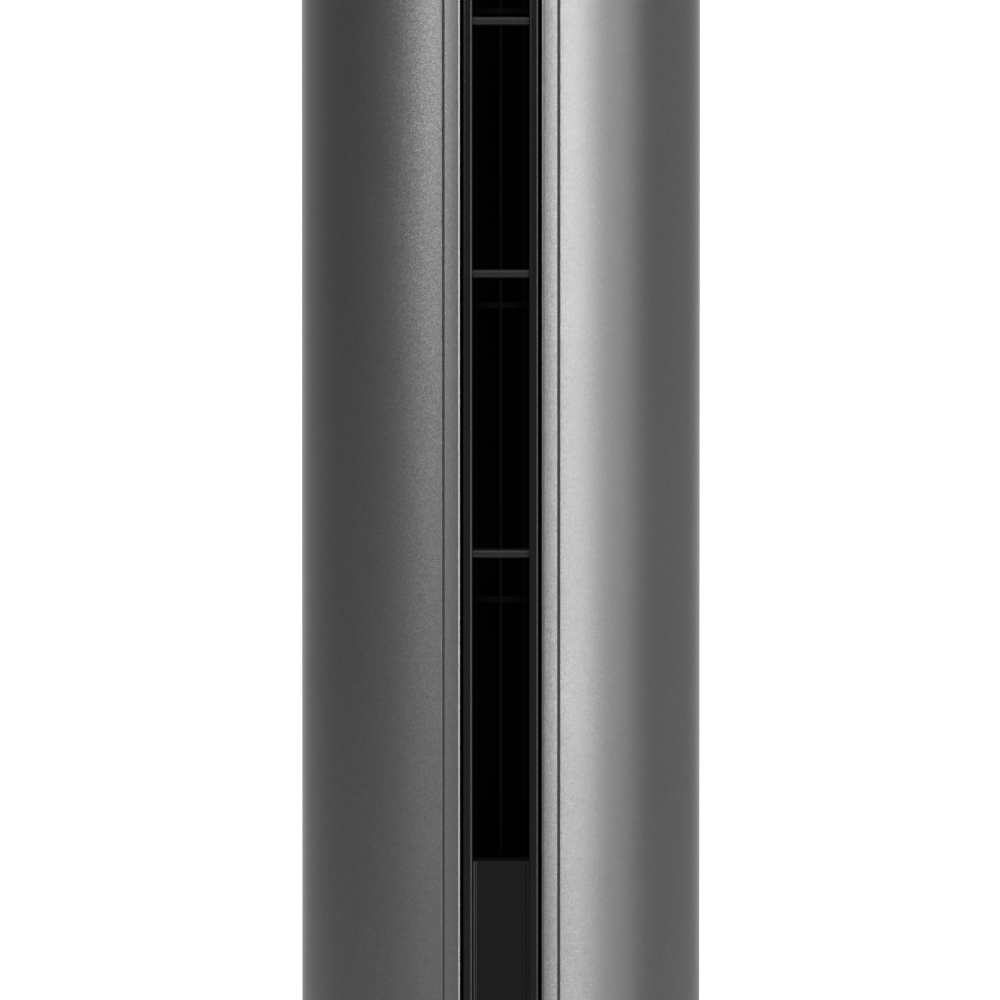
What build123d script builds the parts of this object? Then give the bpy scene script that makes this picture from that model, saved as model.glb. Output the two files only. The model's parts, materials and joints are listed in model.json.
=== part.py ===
"""Slim column tower fan: a round weighted base, a swinging column with a narrow ribbed air slot,
a cross-flow impeller on an upright shaft, and a ring of push keys on the top cap.

Millimetres, +Z up. The origin is the centre of the base on the floor, and the air slot faces -Y.
Plan angles run from the front (-Y) towards +X.
"""

import os
from math import acos, cos, exp, log, pi, radians, sin, tan

from build123d import *

# ---------------------------------------------------------------- driving dimensions
COLUMN_R = 66.0
WALL = 2.5
COLUMN_Z0 = 28.5
COLUMN_Z1 = 958.0
FIT = 0.2  # gap between pieces that are screwed or clipped together
RUN = 0.06  # radial clearance of a shaft or post that turns in a bore

# air slot
SLOT_HALF = 9.1
SLOT_Z0 = 300.0
FIRST_BAY = 100.0
BAY_STEP = 9.0
BAYS = 8
RIB = 2.8
RAIL_OUT = 12.4
RAIL_FRONT_Y = 2.1 - COLUMN_R
RAIL_BACK_Y = RAIL_FRONT_Y + 7.9
STRIP_IN = 13.3
STRIP_OUT = 18.5
GROOVE = 0.6
CHANNEL_WALL = 1.5
CHANNEL_BACK_Y = -44.0
RIB_FRONT_Y = RAIL_FRONT_Y + 1.5
PANEL_Y = RAIL_FRONT_Y + 1.3
PANEL_T = 2.4

# back of the column
REAR_EDGE = 131.0  # plan angle where the side shells end and the rear cover starts
GRILLE_EDGE = 138.0
GRILLE_BARS = 20
GRILLE_Z0 = 292.0
GRILLE_Z1 = 864.0
GRILLE_TIES = 11
REAR_SPLIT_Z = 884.0
HANDLE_Z = 907.5
HANDLE_H = 35.0
HANDLE_HALF_X = 35.0
HANDLE_DEPTH_Y = 36.0

# bulkheads and impeller
BULKHEAD_R = COLUMN_R - 2.8
BULKHEAD_T = 4.0
FLOOR_Z = 28.5
MOTOR_PLATE_Z = 262.0
BEARING_PLATE_Z = 876.0
IMPELLER_Y = 8.0
IMPELLER_R = 36.0
IMPELLER_Z0 = 286.0
IMPELLER_Z1 = 868.0
IMPELLER_CELLS = 6
BLADES = 28
SHAFT_R = 4.0

# motor
MOTOR_R = 34.0
MOTOR_Z0 = 192.0
MOTOR_Z1 = 252.0

# swing drive
POST_R = 17.94
POST_BORE = 11.0
POST_TOP = 39.0
GEAR_MODULE = 1.2
GEAR_TEETH = 50
PINION_TEETH = 18
GEAR_FACE = 8.0
BACKLASH = 0.3
BRACKET_Y = -36.0

# base
BASE_R = 140.0
BASE_TOP = 26.0
COVER_Z = 3.0
COVER_T = 2.5
COVER_R = 136.8
FOOT_RING_R = 116.0
FOOT_R = 9.0
COVER_SCREW_R = 128.0
WEIGHT_RING_R = 92.0
WEIGHT_SEAT_Z = 9.5
FLANGE_Z = 15.9
SOCKET_Z = 10.0
SOCKET_BORE = 2.75

# top
CAP_Z1 = 985.0
DECK_R = 55.0
DECK_Z0 = 978.0
DECK_Z1 = 981.0
BOARD_Z = 966.0
BOARD_T = 1.6
SWITCH_H = 4.0
KEY_RING = 30.0
KEY_R = 6.5
POWER_KEY_R = 9.0
KEY_ANGLES = {"speed_key": -54.0, "mode_key": -18.0, "timer_key": 18.0, "swing_key": 54.0}


# ---------------------------------------------------------------- shape helpers
def spot(angle, radius):
    """Point on the plan at a plan angle and a distance from the column's axis."""
    return radius * sin(radians(angle)), -radius * cos(radians(angle))


def plan_angle(x, radius=COLUMN_R):
    """Plan angle at which a circle about the column's axis reaches x."""
    return 90 - acos(x / radius) * 180 / pi


def disc(radius, z0, z1, x=0.0, y=0.0):
    """Upright cylinder between two heights."""
    return Pos(x, y, (z0 + z1) / 2) * Cylinder(radius, z1 - z0)


def ring(inner, outer, z0, z1, x=0.0, y=0.0):
    """Upright tube between two heights."""
    return disc(outer, z0, z1, x, y) - disc(inner, z0 - 1, z1 + 1, x, y)


def block(x0, x1, y0, y1, z0, z1):
    """Box between two corners."""
    return Pos((x0 + x1) / 2, (y0 + y1) / 2, (z0 + z1) / 2) * Box(x1 - x0, y1 - y0, z1 - z0)


def sector(inner, outer, start, end, z0, z1):
    """Part of a tube between two plan angles, in the turning sense from -Y to +X."""
    outside = CenterArc((0, 0), outer, start - 90, end - start)
    inside = CenterArc((0, 0), inner, start - 90, end - start)
    sides = [Line(outside @ 0, inside @ 0), Line(outside @ 1, inside @ 1)]
    face = make_face([outside, inside, *sides])
    return Pos(0, 0, z0) * extrude(face, z1 - z0)


def turned(points, radii=0.0):
    """Solid of revolution about the column's axis from a closed outline of (radius, height)."""
    outline = FilletPolyline(*points, radius=radii, close=True)
    return revolve(Plane.XZ * make_face(outline), Axis.Z)


def around(count, radius, first=0.0):
    """Evenly spaced places on a circle, as plan points."""
    return [spot(first + 360.0 / count * i, radius) for i in range(count)]


def screw(head_r, head_h, shank_r, length):
    """Pan-head screw pointing up, with its head's seat at the origin and a cross recess."""
    head = disc(head_r, -head_h, 0)
    body = head + disc(shank_r, -0.01, length)
    slot = Box(head_r * 1.1, head_r * 0.28, head_h)
    return body - Pos(0, 0, -head_h) * (slot + Rot(0, 0, 90) * slot)


def gather(solids):
    """One shape holding separate solids."""
    return Compound(children=list(solids))


def gear_outline(teeth, phase):
    """Closed involute outline of an external gear, with one tooth centred on a phase in degrees."""
    pitch = GEAR_MODULE * teeth / 2
    base = pitch * cos(radians(20))
    tip = pitch + GEAR_MODULE
    root = pitch - 1.25 * GEAR_MODULE
    half = pi / (2 * teeth) - BACKLASH / (2 * pitch)

    def involute(r):
        slope = acos(min(1.0, base / r))
        return tan(slope) - slope

    flank = [max(root + 0.1, base) + (tip - max(root + 0.1, base)) * i / 3 for i in range(4)]
    lean = [half + involute(pitch) - involute(r) for r in flank]
    points = []
    for tooth in range(teeth):
        middle = radians(phase) + 2 * pi * tooth / teeth
        rise = [(root, -lean[0]), *zip(flank, [-a for a in lean])]
        fall = [*zip(reversed(flank), reversed(lean)), (root, lean[0])]
        points += [(r * cos(middle + a), r * sin(middle + a)) for r, a in rise + fall]
    return make_face(Polyline(*points, close=True))


# ---------------------------------------------------------------- base
def base_shell():
    """Low domed disc, open underneath, with a thick hub and the bosses for its screws."""
    outline = [
        (18.3, BASE_TOP), (60, BASE_TOP), (COLUMN_R + 2, 24.8), (134, 20.4), (BASE_R, 16), (BASE_R, 4),
        (137.2, 4), (137.2, 14.4), (132.5, 17.8), (62, 20), (18.3, 20),
    ]
    body = turned(outline, [0, 3, 6, 4, 3, 0.8, 0.6, 2, 3, 3, 0])
    for x, y in around(6, COVER_SCREW_R, 30):
        body += disc(4.0, COVER_Z + COVER_T, 18.6, x, y)
    for x, y in around(4, WEIGHT_RING_R, 45):
        body += disc(5.0, 16.0, 19.5, x, y)
    for x, y in around(6, COVER_SCREW_R, 30):
        body -= disc(1.5, 4, 15.0, x, y)
    for x, y in around(4, WEIGHT_RING_R, 45):
        body -= disc(1.55, 15, 18.6, x, y)
    for x, y in around(4, 28, 45):
        body -= disc(1.55, 19, 24.8, x, y)
    return body - Pos(0, BASE_R - 6, SOCKET_Z) * Rot(90, 0, 0) * Cylinder(4.25, 24)


def base_cover():
    """Flat underside plate, with counterbored screw holes and the foot sockets."""
    top = COVER_Z + COVER_T
    plate = disc(COVER_R, COVER_Z, top) - disc(6, 0, 10)
    for x, y in around(6, COVER_SCREW_R, 30):
        plate -= disc(1.7, 0, 10, x, y) + disc(3.3, 0, COVER_Z + 1.7, x, y)
    for x, y in around(6, FOOT_RING_R):
        plate -= disc(3.1, 0, 10, x, y)
    return plate


def base_cover_screws():
    """Six screws that hold the underside plate to the base shell."""
    one = screw(3.0, 1.5, 1.45, 9.5)
    return gather(Pos(x, y, COVER_Z + 1.7) * one for x, y in around(6, COVER_SCREW_R, 30))


def rubber_feet():
    """Six feet, each with a stud that pushes into the underside plate."""
    def foot(x, y):
        pad = chamfer(disc(FOOT_R, 0, COVER_Z - 0.02, x, y).edges().sort_by(Axis.Z)[0], 0.8)
        return pad + disc(3.0, COVER_Z - 0.5, COVER_Z + COVER_T, x, y)
    return gather(foot(x, y) for x, y in around(6, FOOT_RING_R))


def base_weight():
    """Cast ballast ring hung under the base shell."""
    plate = ring(46, 120, 8, 15.4)
    plate = chamfer(plate.edges().filter_by(GeomType.CIRCLE).sort_by(Axis.Z)[-1], 0.6)
    for x, y in around(4, WEIGHT_RING_R, 45):
        plate -= disc(1.7, 7, 17, x, y) + disc(4.0, 7, WEIGHT_SEAT_Z, x, y)
        plate -= disc(5.3, 15, 17, x, y)
    for x, y in around(6, 112, 30):
        plate -= disc(6.0, 7, 17, x, y)
    return plate - block(-9, 9, 100, 125, 7, 17)


def inner_base_screws():
    """Eight like screws up into the base shell: four hold the ballast ring and four the post."""
    one = screw(3.2, 1.8, 1.5, 8.6)
    places = [(x, y, WEIGHT_SEAT_Z) for x, y in around(4, WEIGHT_RING_R, 45)]
    places += [(x, y, FLANGE_Z) for x, y in around(4, 28, 45)]
    return gather(Pos(x, y, z - 0.02) * one for x, y, z in places)


def swivel_post():
    """Hollow post that the column turns on, with the flange that screws to the base hub."""
    body = ring(POST_BORE, POST_R, FLANGE_Z, POST_TOP) + ring(POST_R - 1, 34, FLANGE_Z, FLANGE_Z + 4)
    for x, y in around(4, 28, 45):
        body -= disc(1.7, 15, 21, x, y)
    for x, y in around(3, 14.5, 60):
        body -= disc(1.35, POST_TOP - 9, POST_TOP + 1, x, y)
    return body


def glide_ring():
    """Slippery ring that the column's floor rests and turns on."""
    return ring(44, 56, BASE_TOP + 0.02, COLUMN_Z0 - 0.05)


def swing_gear():
    """Fixed gear on top of the post, which also keeps the column from lifting off."""
    face = gear_outline(GEAR_TEETH, 90)
    body = Pos(0, 0, POST_TOP + 0.02) * extrude(face, GEAR_FACE)
    body -= disc(POST_BORE, POST_TOP - 1, POST_TOP + GEAR_FACE + 1)
    for x, y in around(3, 14.5, 60):
        body -= disc(1.4, POST_TOP - 1, POST_TOP + GEAR_FACE + 1, x, y)
    for x, y in around(6, 23, 30):
        body -= disc(4.0, POST_TOP - 1, POST_TOP + GEAR_FACE + 1, x, y)
    return body


def swing_gear_screws():
    """Three screws that hold the fixed gear to the post."""
    one = Rot(180, 0, 0) * screw(2.6, 1.8, 1.3, GEAR_FACE + 8)
    return gather(Pos(x, y, POST_TOP + GEAR_FACE + 0.04) * one for x, y in around(3, 14.5, 60))


def power_socket():
    """Low-voltage jack in the back edge of the base."""
    barrel = Pos(0, BASE_R - 7.2, SOCKET_Z) * Rot(90, 0, 0) * Cylinder(4.1, 14)
    case = block(-5, 5, BASE_R - 17, BASE_R - 6.6, SOCKET_Z - 4, SOCKET_Z + 4)
    hole = Pos(0, BASE_R - 5.2, SOCKET_Z) * Rot(90, 0, 0) * Cylinder(SOCKET_BORE, 10)
    return barrel + case - hole


# ---------------------------------------------------------------- column structure
def bulkhead(z):
    """Round plate that fits inside the shells, cut back behind the air slot, with lug holes."""
    plate = disc(BULKHEAD_R, z, z + BULKHEAD_T)
    plate -= sector(53.5, COLUMN_R, -21, 21, z - 1, z + BULKHEAD_T + 1)
    for side in (-1, 1):
        lip = sorted((side * (REAR_EDGE - 4.4), side * GRILLE_EDGE))
        plate -= sector(COLUMN_R - 5.3, COLUMN_R, *lip, z - 1, z + BULKHEAD_T + 1)
    for x, y in lug_places():
        plate -= disc(1.8, z - 1, z + BULKHEAD_T + 1, x, y) + disc(3.6, z - 1, z + 2.0, x, y)
    return plate


def lug_places():
    """Where the side shells' lugs are screwed to each bulkhead."""
    return [spot(side * angle, 57.0) for side in (-1, 1) for angle in (68, 112)]


def tower_floor():
    """Turntable plate of the column, with the hub that turns on the post."""
    plate = bulkhead(FLOOR_Z) + disc(27, FLOOR_Z, POST_TOP - 0.2)
    for side in (-1, 1):
        plate += disc(3.5, FLOOR_Z + 1, 52.3, side * 17.5, pinion_y())
    for side in (-1, 1):
        plate -= disc(1.25, 44, 53, side * 17.5, pinion_y())
    return plate - disc(POST_R + RUN, FLOOR_Z - 1, POST_TOP + 1)


def motor_plate():
    """Lower bulkhead that carries the motor underneath."""
    plate = bulkhead(MOTOR_PLATE_Z) - disc(13, 255, 270, 0, IMPELLER_Y)
    for x, y in motor_bush_places():
        plate -= disc(1.6, 255, 270, x, y)
    return plate - block(-52, -44, 10, 26, 255, 270)


def bearing_plate():
    """Upper bulkhead with the seat of the impeller's top bearing."""
    z = BEARING_PLATE_Z
    plate = bulkhead(z) + disc(18, z - 4, z + 8, 0, IMPELLER_Y)
    plate -= disc(14.05, z - 2, z + 9, 0, IMPELLER_Y) + disc(6.5, z - 6, z, 0, IMPELLER_Y)
    return plate - block(-52, -44, 10, 26, z - 5, z + 10)


def bulkhead_screws():
    """Screws up through the three bulkheads into the shells' lugs."""
    one = screw(3.3, 1.8, 1.5, 7.3)
    levels = (FLOOR_Z, MOTOR_PLATE_Z, BEARING_PLATE_Z)
    return gather(Pos(x, y, z + 1.98) * one for z in levels for x, y in lug_places())


def side_shell(side):
    """One side of the column: a curved wall with a fin at the slot and a lip under the rear cover."""
    front = plan_angle(STRIP_OUT + GROOVE)
    z0, z1 = COLUMN_Z0, COLUMN_Z1
    body = sector(COLUMN_R - WALL, COLUMN_R, front, REAR_EDGE - 0.2, z0, z1)
    body += sector(55, COLUMN_R - WALL + 0.1, front, front + 1.8, z0, z1)
    body += sector(COLUMN_R - 5, COLUMN_R - WALL + 0.1, REAR_EDGE - 4, REAR_EDGE - 2, z0, z1)
    body += sector(COLUMN_R - 5, COLUMN_R - WALL - 0.2, REAR_EDGE - 3, GRILLE_EDGE - 0.6, z0, z1)
    for z in (FLOOR_Z, MOTOR_PLATE_Z, BEARING_PLATE_Z):
        for angle in (68, 112):
            low = z + BULKHEAD_T + 0.02
            body += sector(53.5, COLUMN_R - WALL + 0.1, angle - 4, angle + 4, low, low + 8)
            body -= disc(1.55, low - 1, low + 5.5, *spot(angle, 57.0))
    for z in rear_screw_heights():
        body -= radial_hole(1.4, 50, 70, rear_screw_angle(), z)
    body -= sector(COLUMN_R - 6, COLUMN_R - WALL + 0.01, REAR_EDGE - 8, 180, 880, 935)
    return body if side > 0 else mirror(body, Plane.YZ)


def radial_hole(radius, r0, r1, angle, z):
    """Cylinder that points out from the column's axis at a plan angle."""
    x, y = spot(angle, (r0 + r1) / 2)
    return Pos(x, y, z) * Rot(0, 0, angle) * Rot(90, 0, 0) * Cylinder(radius, r1 - r0)


def rear_screw_heights():
    """Heights of the rear cover's screws."""
    return [60, 250, 445, 640, 835, 946]


def rear_screw_angle():
    """Plan angle of the rear cover's screws, midway along its border."""
    return (REAR_EDGE + GRILLE_EDGE) / 2


def rear_wall(z0, z1):
    """Curved back wall between two heights, with its counterbored screw holes."""
    body = sector(COLUMN_R - WALL, COLUMN_R, REAR_EDGE + 0.2, 359.8 - REAR_EDGE, z0, z1)
    for z in rear_screw_heights():
        for angle in (rear_screw_angle(), 360 - rear_screw_angle()):
            body -= radial_hole(1.6, 50, 70, angle, z)
            body -= radial_hole(2.9, COLUMN_R - 1.6, 70, angle, z)
    return body


def intake_grille():
    """Back of the column below the grip: a curved cover with the upright bars of the air intake."""
    inner = COLUMN_R - WALL
    body = rear_wall(COLUMN_Z0, REAR_SPLIT_Z - 0.1)
    body -= sector(inner - 1, COLUMN_R + 1, GRILLE_EDGE, 360 - GRILLE_EDGE, GRILLE_Z0, GRILLE_Z1)
    pitch = (360 - 2 * GRILLE_EDGE) / (GRILLE_BARS + 1)
    for bar in range(1, GRILLE_BARS + 1):
        middle = GRILLE_EDGE + pitch * bar
        body += sector(inner, COLUMN_R, middle - 0.8, middle + 0.8, GRILLE_Z0 - 0.5, GRILLE_Z1 + 0.5)
    gap = (GRILLE_Z1 - GRILLE_Z0) / (GRILLE_TIES + 1)
    for tie in range(1, GRILLE_TIES + 1):
        z = GRILLE_Z0 + gap * tie
        body += sector(inner - 0.9, COLUMN_R - 0.9, GRILLE_EDGE - 0.2, 360.2 - GRILLE_EDGE, z - 1, z + 1)
    return body


def rear_cover():
    """Back of the column round the grip, with two tabs that hook behind the intake grille."""
    inner, hook = COLUMN_R - WALL, REAR_SPLIT_Z + 3
    body = rear_wall(REAR_SPLIT_Z + 0.1, COLUMN_Z1)
    half = plan_angle(HANDLE_HALF_X)
    low, high = HANDLE_Z - HANDLE_H / 2, HANDLE_Z + HANDLE_H / 2
    body -= sector(50, 70, 180 - half, 180 + half, low, high)
    for middle in (155, 205):
        body += sector(inner - 1.6, inner - 0.1, middle - 5, middle + 5, hook - 6.4, hook)
        body += sector(inner - 1.6, inner + 0.1, middle - 5, middle + 5, hook - 2.6, hook)
    return body


def rear_cover_screws():
    """Twelve screws along both borders of the rear cover and the intake grille."""
    one = Rot(90, 0, 0) * screw(2.7, 1.4, 1.35, 6.4)
    places = [(a, z) for z in rear_screw_heights() for a in (rear_screw_angle(), 360 - rear_screw_angle())]
    seat = COLUMN_R - 1.6 + 0.02
    return gather(Pos(*spot(a, seat), z) * Rot(0, 0, a + 180) * one for a, z in places)


def handle_scoop():
    """Grip recess behind the window in the rear cover, open to the back."""
    half, t = HANDLE_HALF_X + 0.5, 2.0
    low, high = HANDLE_Z - HANDLE_H / 2 - 0.5, HANDLE_Z + HANDLE_H / 2 + 0.5
    outside = block(-half - t, half + t, HANDLE_DEPTH_Y - t, COLUMN_R, low - t, high + t)
    inside = block(-half, half, HANDLE_DEPTH_Y, 70, low, high)
    return (outside - inside) & disc(COLUMN_R - WALL - 0.2, low - 9, high + 9)


# ---------------------------------------------------------------- air slot
def trim_strip(side):
    """Narrow metal-look strip between a side shell and the slot's dark frame."""
    start, end = plan_angle(STRIP_IN), plan_angle(STRIP_OUT)
    body = sector(COLUMN_R - 2.4, COLUMN_R, start, end, COLUMN_Z0, COLUMN_Z1)
    edges = body.edges().filter_by(Axis.Z).sort_by(lambda e: -e.center().Y)[-2:]
    body = chamfer(edges, 0.5)
    body += sector(55, COLUMN_R - 2.3, end - 1.5, end, COLUMN_Z0, COLUMN_Z1)
    body += sector(COLUMN_R - 2.2, COLUMN_R - 1.0, end - 0.1, end + 0.45, COLUMN_Z0, COLUMN_Z1)
    return body if side > 0 else mirror(body, Plane.YZ)


def outlet_frame():
    """Dark frame of the slot: two rails the height of the column, joined at both ends."""
    rail = block(SLOT_HALF, RAIL_OUT, RAIL_FRONT_Y, RAIL_BACK_Y, COLUMN_Z0, COLUMN_Z1)
    rail = chamfer(rail.edges().filter_by(Axis.Z).sort_by(Axis.Y)[:2], 0.45)
    body = rail + mirror(rail, Plane.YZ)
    for z in (COLUMN_Z0, COLUMN_Z1 - 5):
        body += block(-SLOT_HALF - 1, SLOT_HALF + 1, RAIL_FRONT_Y + 0.6, RAIL_BACK_Y, z, z + 5)
    return body


def bay_edges():
    """Heights of the slot's foot, of each rib's middle, and of the slot's head."""
    heights = [SLOT_Z0]
    for bay in range(BAYS):
        heights.append(heights[-1] + FIRST_BAY - BAY_STEP * bay)
    return heights


def outlet_grille():
    """Channel behind the frame, with the cross ribs that split the slot into bays."""
    heights = bay_edges()
    foot, head = heights[0], heights[-1]
    half = SLOT_HALF - 0.05
    wall = block(SLOT_HALF, SLOT_HALF + CHANNEL_WALL, RAIL_BACK_Y + FIT, CHANNEL_BACK_Y, foot - 3, head + 3)
    body = wall + mirror(wall, Plane.YZ)
    back = PANEL_Y + PANEL_T + 0.1
    for z in (foot - 3, head):
        body += block(-half, half, back, CHANNEL_BACK_Y, z, z + 3)
        body += block(-SLOT_HALF - 1, SLOT_HALF + 1, RAIL_BACK_Y + FIT, CHANNEL_BACK_Y, z, z + 3)
    for z in heights[1:-1]:
        z0, z1 = z - RIB / 2, z + RIB / 2
        rib = block(-half, half, RIB_FRONT_Y, CHANNEL_BACK_Y, z0, z1)
        rib = fillet(rib.edges().filter_by(Axis.X).sort_by(Axis.Y)[:2], 0.6)
        root = block(-SLOT_HALF - 1, SLOT_HALF + 1, RAIL_BACK_Y + FIT, CHANNEL_BACK_Y, z0, z1)
        body += rib + root
    return body


def slot_panel(z0, z1, open_end):
    """Solid panel that closes the frame above or below the slot, with a rounded edge at the slot."""
    half = SLOT_HALF - 0.05
    body = block(-half, half, PANEL_Y, PANEL_Y + PANEL_T, z0, z1)
    front = body.edges().filter_by(Axis.X).sort_by(Axis.Y)[:2].sort_by(Axis.Z)
    return fillet(front[-1] if open_end == "top" else front[0], 0.8)


def lower_panel():
    """Panel from the column's floor up to the slot."""
    return slot_panel(COLUMN_Z0 + 5.1, SLOT_Z0, "top")


def upper_panel():
    """Panel from the slot up to the cap, with the seat of the remote-control window."""
    body = slot_panel(bay_edges()[-1], COLUMN_Z1 - 5.1, "bottom")
    return body - Pos(0, PANEL_Y, 925) * Rot(90, 0, 0) * Cylinder(3.1, 8)


def remote_window():
    """Smoked lens of the remote-control receiver."""
    lens = Pos(0, PANEL_Y + PANEL_T / 2, 925) * Rot(90, 0, 0) * Cylinder(3.0, PANEL_T)
    return fillet(lens.edges().filter_by(GeomType.CIRCLE).sort_by(Axis.Y)[0], 0.6)


# ---------------------------------------------------------------- air path
def scroll_wall():
    """Spiral duct wall that gathers the impeller's air and leads it into the slot."""
    start_x = SLOT_HALF + CHANNEL_WALL / 2
    start_y = CHANNEL_BACK_Y + 2.3 - IMPELLER_Y
    far = (start_x**2 + start_y**2) ** 0.5
    first = acos(start_x / far) * -180 / pi
    last, near = 52.0, IMPELLER_R + 2.5
    growth = log(far / near) / (last - first)

    def spiral(offset):
        turns = [first + (last - first) * i / 8 for i in range(9)]
        reach = [near * exp(growth * (last - a)) + offset for a in turns]
        return [(r * cos(radians(a)), r * sin(radians(a)) + IMPELLER_Y) for a, r in zip(turns, reach)]

    inside, outside = spiral(0), spiral(2.0)
    edges = [Spline(*inside), Spline(*outside), Line(inside[0], outside[0]), Line(inside[-1], outside[-1])]
    low, high = MOTOR_PLATE_Z + BULKHEAD_T + 0.1, BEARING_PLATE_Z - 0.1
    return Pos(0, 0, low) * extrude(make_face(edges), high - low)


def tongue_wall():
    """Wall on the other side of the slot, with the rounded tongue beside the impeller."""
    start = -(SLOT_HALF + CHANNEL_WALL / 2)
    inner = [(start + 0.7, CHANNEL_BACK_Y + 0.3), (-17.5, -34.5), (-24.4, -24.8), (-49.5, -36.8)]
    outer = [(-48.6, -38.6), (-25.2, -27.4), (-19.2, -35.5), (start - 0.7, CHANNEL_BACK_Y + 0.3)]
    outline = FilletPolyline(*inner, *outer, radius=[0, 6, 1.2, 0, 0, 0.6, 6, 0], close=True)
    low, high = MOTOR_PLATE_Z + BULKHEAD_T + 0.1, BEARING_PLATE_Z - 0.1
    return Pos(0, 0, low) * extrude(make_face(outline), high - low)


def impeller():
    """Cross-flow wheel: thin curved blades held by a stack of discs, with a hub at each end."""
    blade_out, blade_in = IMPELLER_R - 0.4, IMPELLER_R - 10.0
    lead, trail, thick = 12.0, 0.0, 1.0

    def blade_edge(shift):
        ends = [(blade_in, lead), ((blade_in + blade_out) / 2, 4.0), (blade_out, trail)]
        bent = [(r * cos(radians(a)), r * sin(radians(a)) + shift) for r, a in ends]
        return ThreePointArc(*bent)

    upper, lower = blade_edge(thick / 2), blade_edge(-thick / 2)
    face = make_face([upper, lower, Line(upper @ 0, lower @ 0), Line(upper @ 1, lower @ 1)])
    blade = Pos(0, 0, IMPELLER_Z0) * extrude(face, IMPELLER_Z1 - IMPELLER_Z0)
    body = Part() + [Rot(0, 0, 360 / BLADES * i) * blade for i in range(BLADES)]
    height = (IMPELLER_Z1 - IMPELLER_Z0) / IMPELLER_CELLS
    for level in range(IMPELLER_CELLS + 1):
        z = IMPELLER_Z0 + height * level
        z = min(max(z, IMPELLER_Z0 + 1), IMPELLER_Z1 - 1)
        hole = 8.0 if level in (0, IMPELLER_CELLS) else IMPELLER_R - 11.5
        body += ring(hole, IMPELLER_R, z - 1, z + 1)
    body += ring(8.0, 12.0, IMPELLER_Z0, IMPELLER_Z0 + 14)
    body += ring(8.0, 12.0, IMPELLER_Z1 - 12, IMPELLER_Z1)
    return Pos(0, IMPELLER_Y, 0) * body


def drive_hub():
    """Rubber hub that couples the motor's shaft to the impeller."""
    return ring(SHAFT_R, 7.95, IMPELLER_Z0, IMPELLER_Z0 + 14, 0, IMPELLER_Y)


def top_pin():
    """Steel pin at the impeller's head, which runs in the top bearing."""
    z0, z1 = IMPELLER_Z1 - 12, BEARING_PLATE_Z + 9
    return disc(7.95, z0, IMPELLER_Z1, 0, IMPELLER_Y) + disc(SHAFT_R, z0, z1, 0, IMPELLER_Y)


def top_bearing():
    """Ball bearing of the impeller's head."""
    z = BEARING_PLATE_Z
    body = ring(SHAFT_R + RUN, 10.95, z + 0.4, z + 7.4, 0, IMPELLER_Y)
    return body - ring(6.5, 8.8, z + 6.8, z + 8, 0, IMPELLER_Y)


def bearing_cup():
    """Rubber cup that holds the top bearing and keeps its noise from the bulkhead."""
    z = BEARING_PLATE_Z
    cup = disc(14.0, z - 1.98, z + 7.9, 0, IMPELLER_Y)
    cup -= disc(11.0, z + 0.3, z + 9, 0, IMPELLER_Y)
    return cup - disc(6.4, z - 5, z + 9, 0, IMPELLER_Y)


# ---------------------------------------------------------------- motor
def motor_bush_places():
    """Where the motor's ears hang from the motor plate."""
    return [(x, y + IMPELLER_Y) for x, y in around(3, 41.0, 0)]


def motor_can():
    """Deep-drawn can of the motor, with the lower bearing's seat."""
    z0, z1 = MOTOR_Z0, MOTOR_Z1
    body = disc(MOTOR_R, z0, z1) - disc(MOTOR_R - 1.6, z0 + 1.6, z1 + 1)
    body += disc(11.0, z0 - 4, z0 + 8)
    body -= disc(9.02, z0 - 2.4, z0 + 9) + disc(5.0, z0 - 6, z0)
    for x, y in around(8, 24, 22.5):
        body -= disc(3.0, z0 - 1, z0 + 3, x, y)
    return Pos(0, IMPELLER_Y, 0) * body


def motor_end_bell():
    """Upper end of the motor, with three ears and the upper bearing's seat."""
    z = MOTOR_Z1 + 0.05
    body = disc(MOTOR_R, z, z + 3)
    for x, y in around(3, 41.0, 0):
        arm = disc(6.5, z, z + 3, x, y)
        body += arm + disc(6.5, z, z + 3, x * 0.8, y * 0.8)
    body += disc(11.0, z - 4, z + 3)
    body -= disc(9.02, z - 5, z + 1.6) + disc(5.0, z - 6, z + 6)
    for x, y in around(3, 41.0, 0):
        body -= disc(4.05, z - 1, z + 4, x, y)
    for x, y in around(6, 23, 30):
        body -= disc(3.2, z - 1, z + 4, x, y)
    return Pos(0, IMPELLER_Y, 0) * body


def motor_bearings():
    """Two ball bearings of the motor shaft."""
    low, high = MOTOR_Z0 - 2.3, MOTOR_Z1 - 5.0
    return gather(ring(SHAFT_R + RUN, 9.0, z, z + 6.4, 0, IMPELLER_Y) for z in (low, high))


def motor_stator():
    """Laminated core with its inward poles."""
    z0, z1 = MOTOR_Z0 + 16, MOTOR_Z1 - 14
    body = ring(27.0, MOTOR_R - 1.65, z0, z1)
    pole = block(17.5, 27.5, -3.0, 3.0, z0, z1)
    shoe = sector(16.6, 18.6, 78, 102, z0, z1)
    for i in range(9):
        body += Rot(0, 0, 40 * i) * (pole + shoe)
    return Pos(0, IMPELLER_Y, 0) * body


def stator_coils():
    """Nine copper coils on the stator's poles."""
    z0, z1 = MOTOR_Z0 + 13, MOTOR_Z1 - 11
    outside = block(19.2, 26.4, -5.2, 5.2, z0, z1)
    coil = outside - block(19, 27, -3.1, 3.1, z0 + 2.9, z1 - 2.9)
    return gather(Pos(0, IMPELLER_Y, 0) * Rot(0, 0, 40 * i) * coil for i in range(9))


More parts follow.
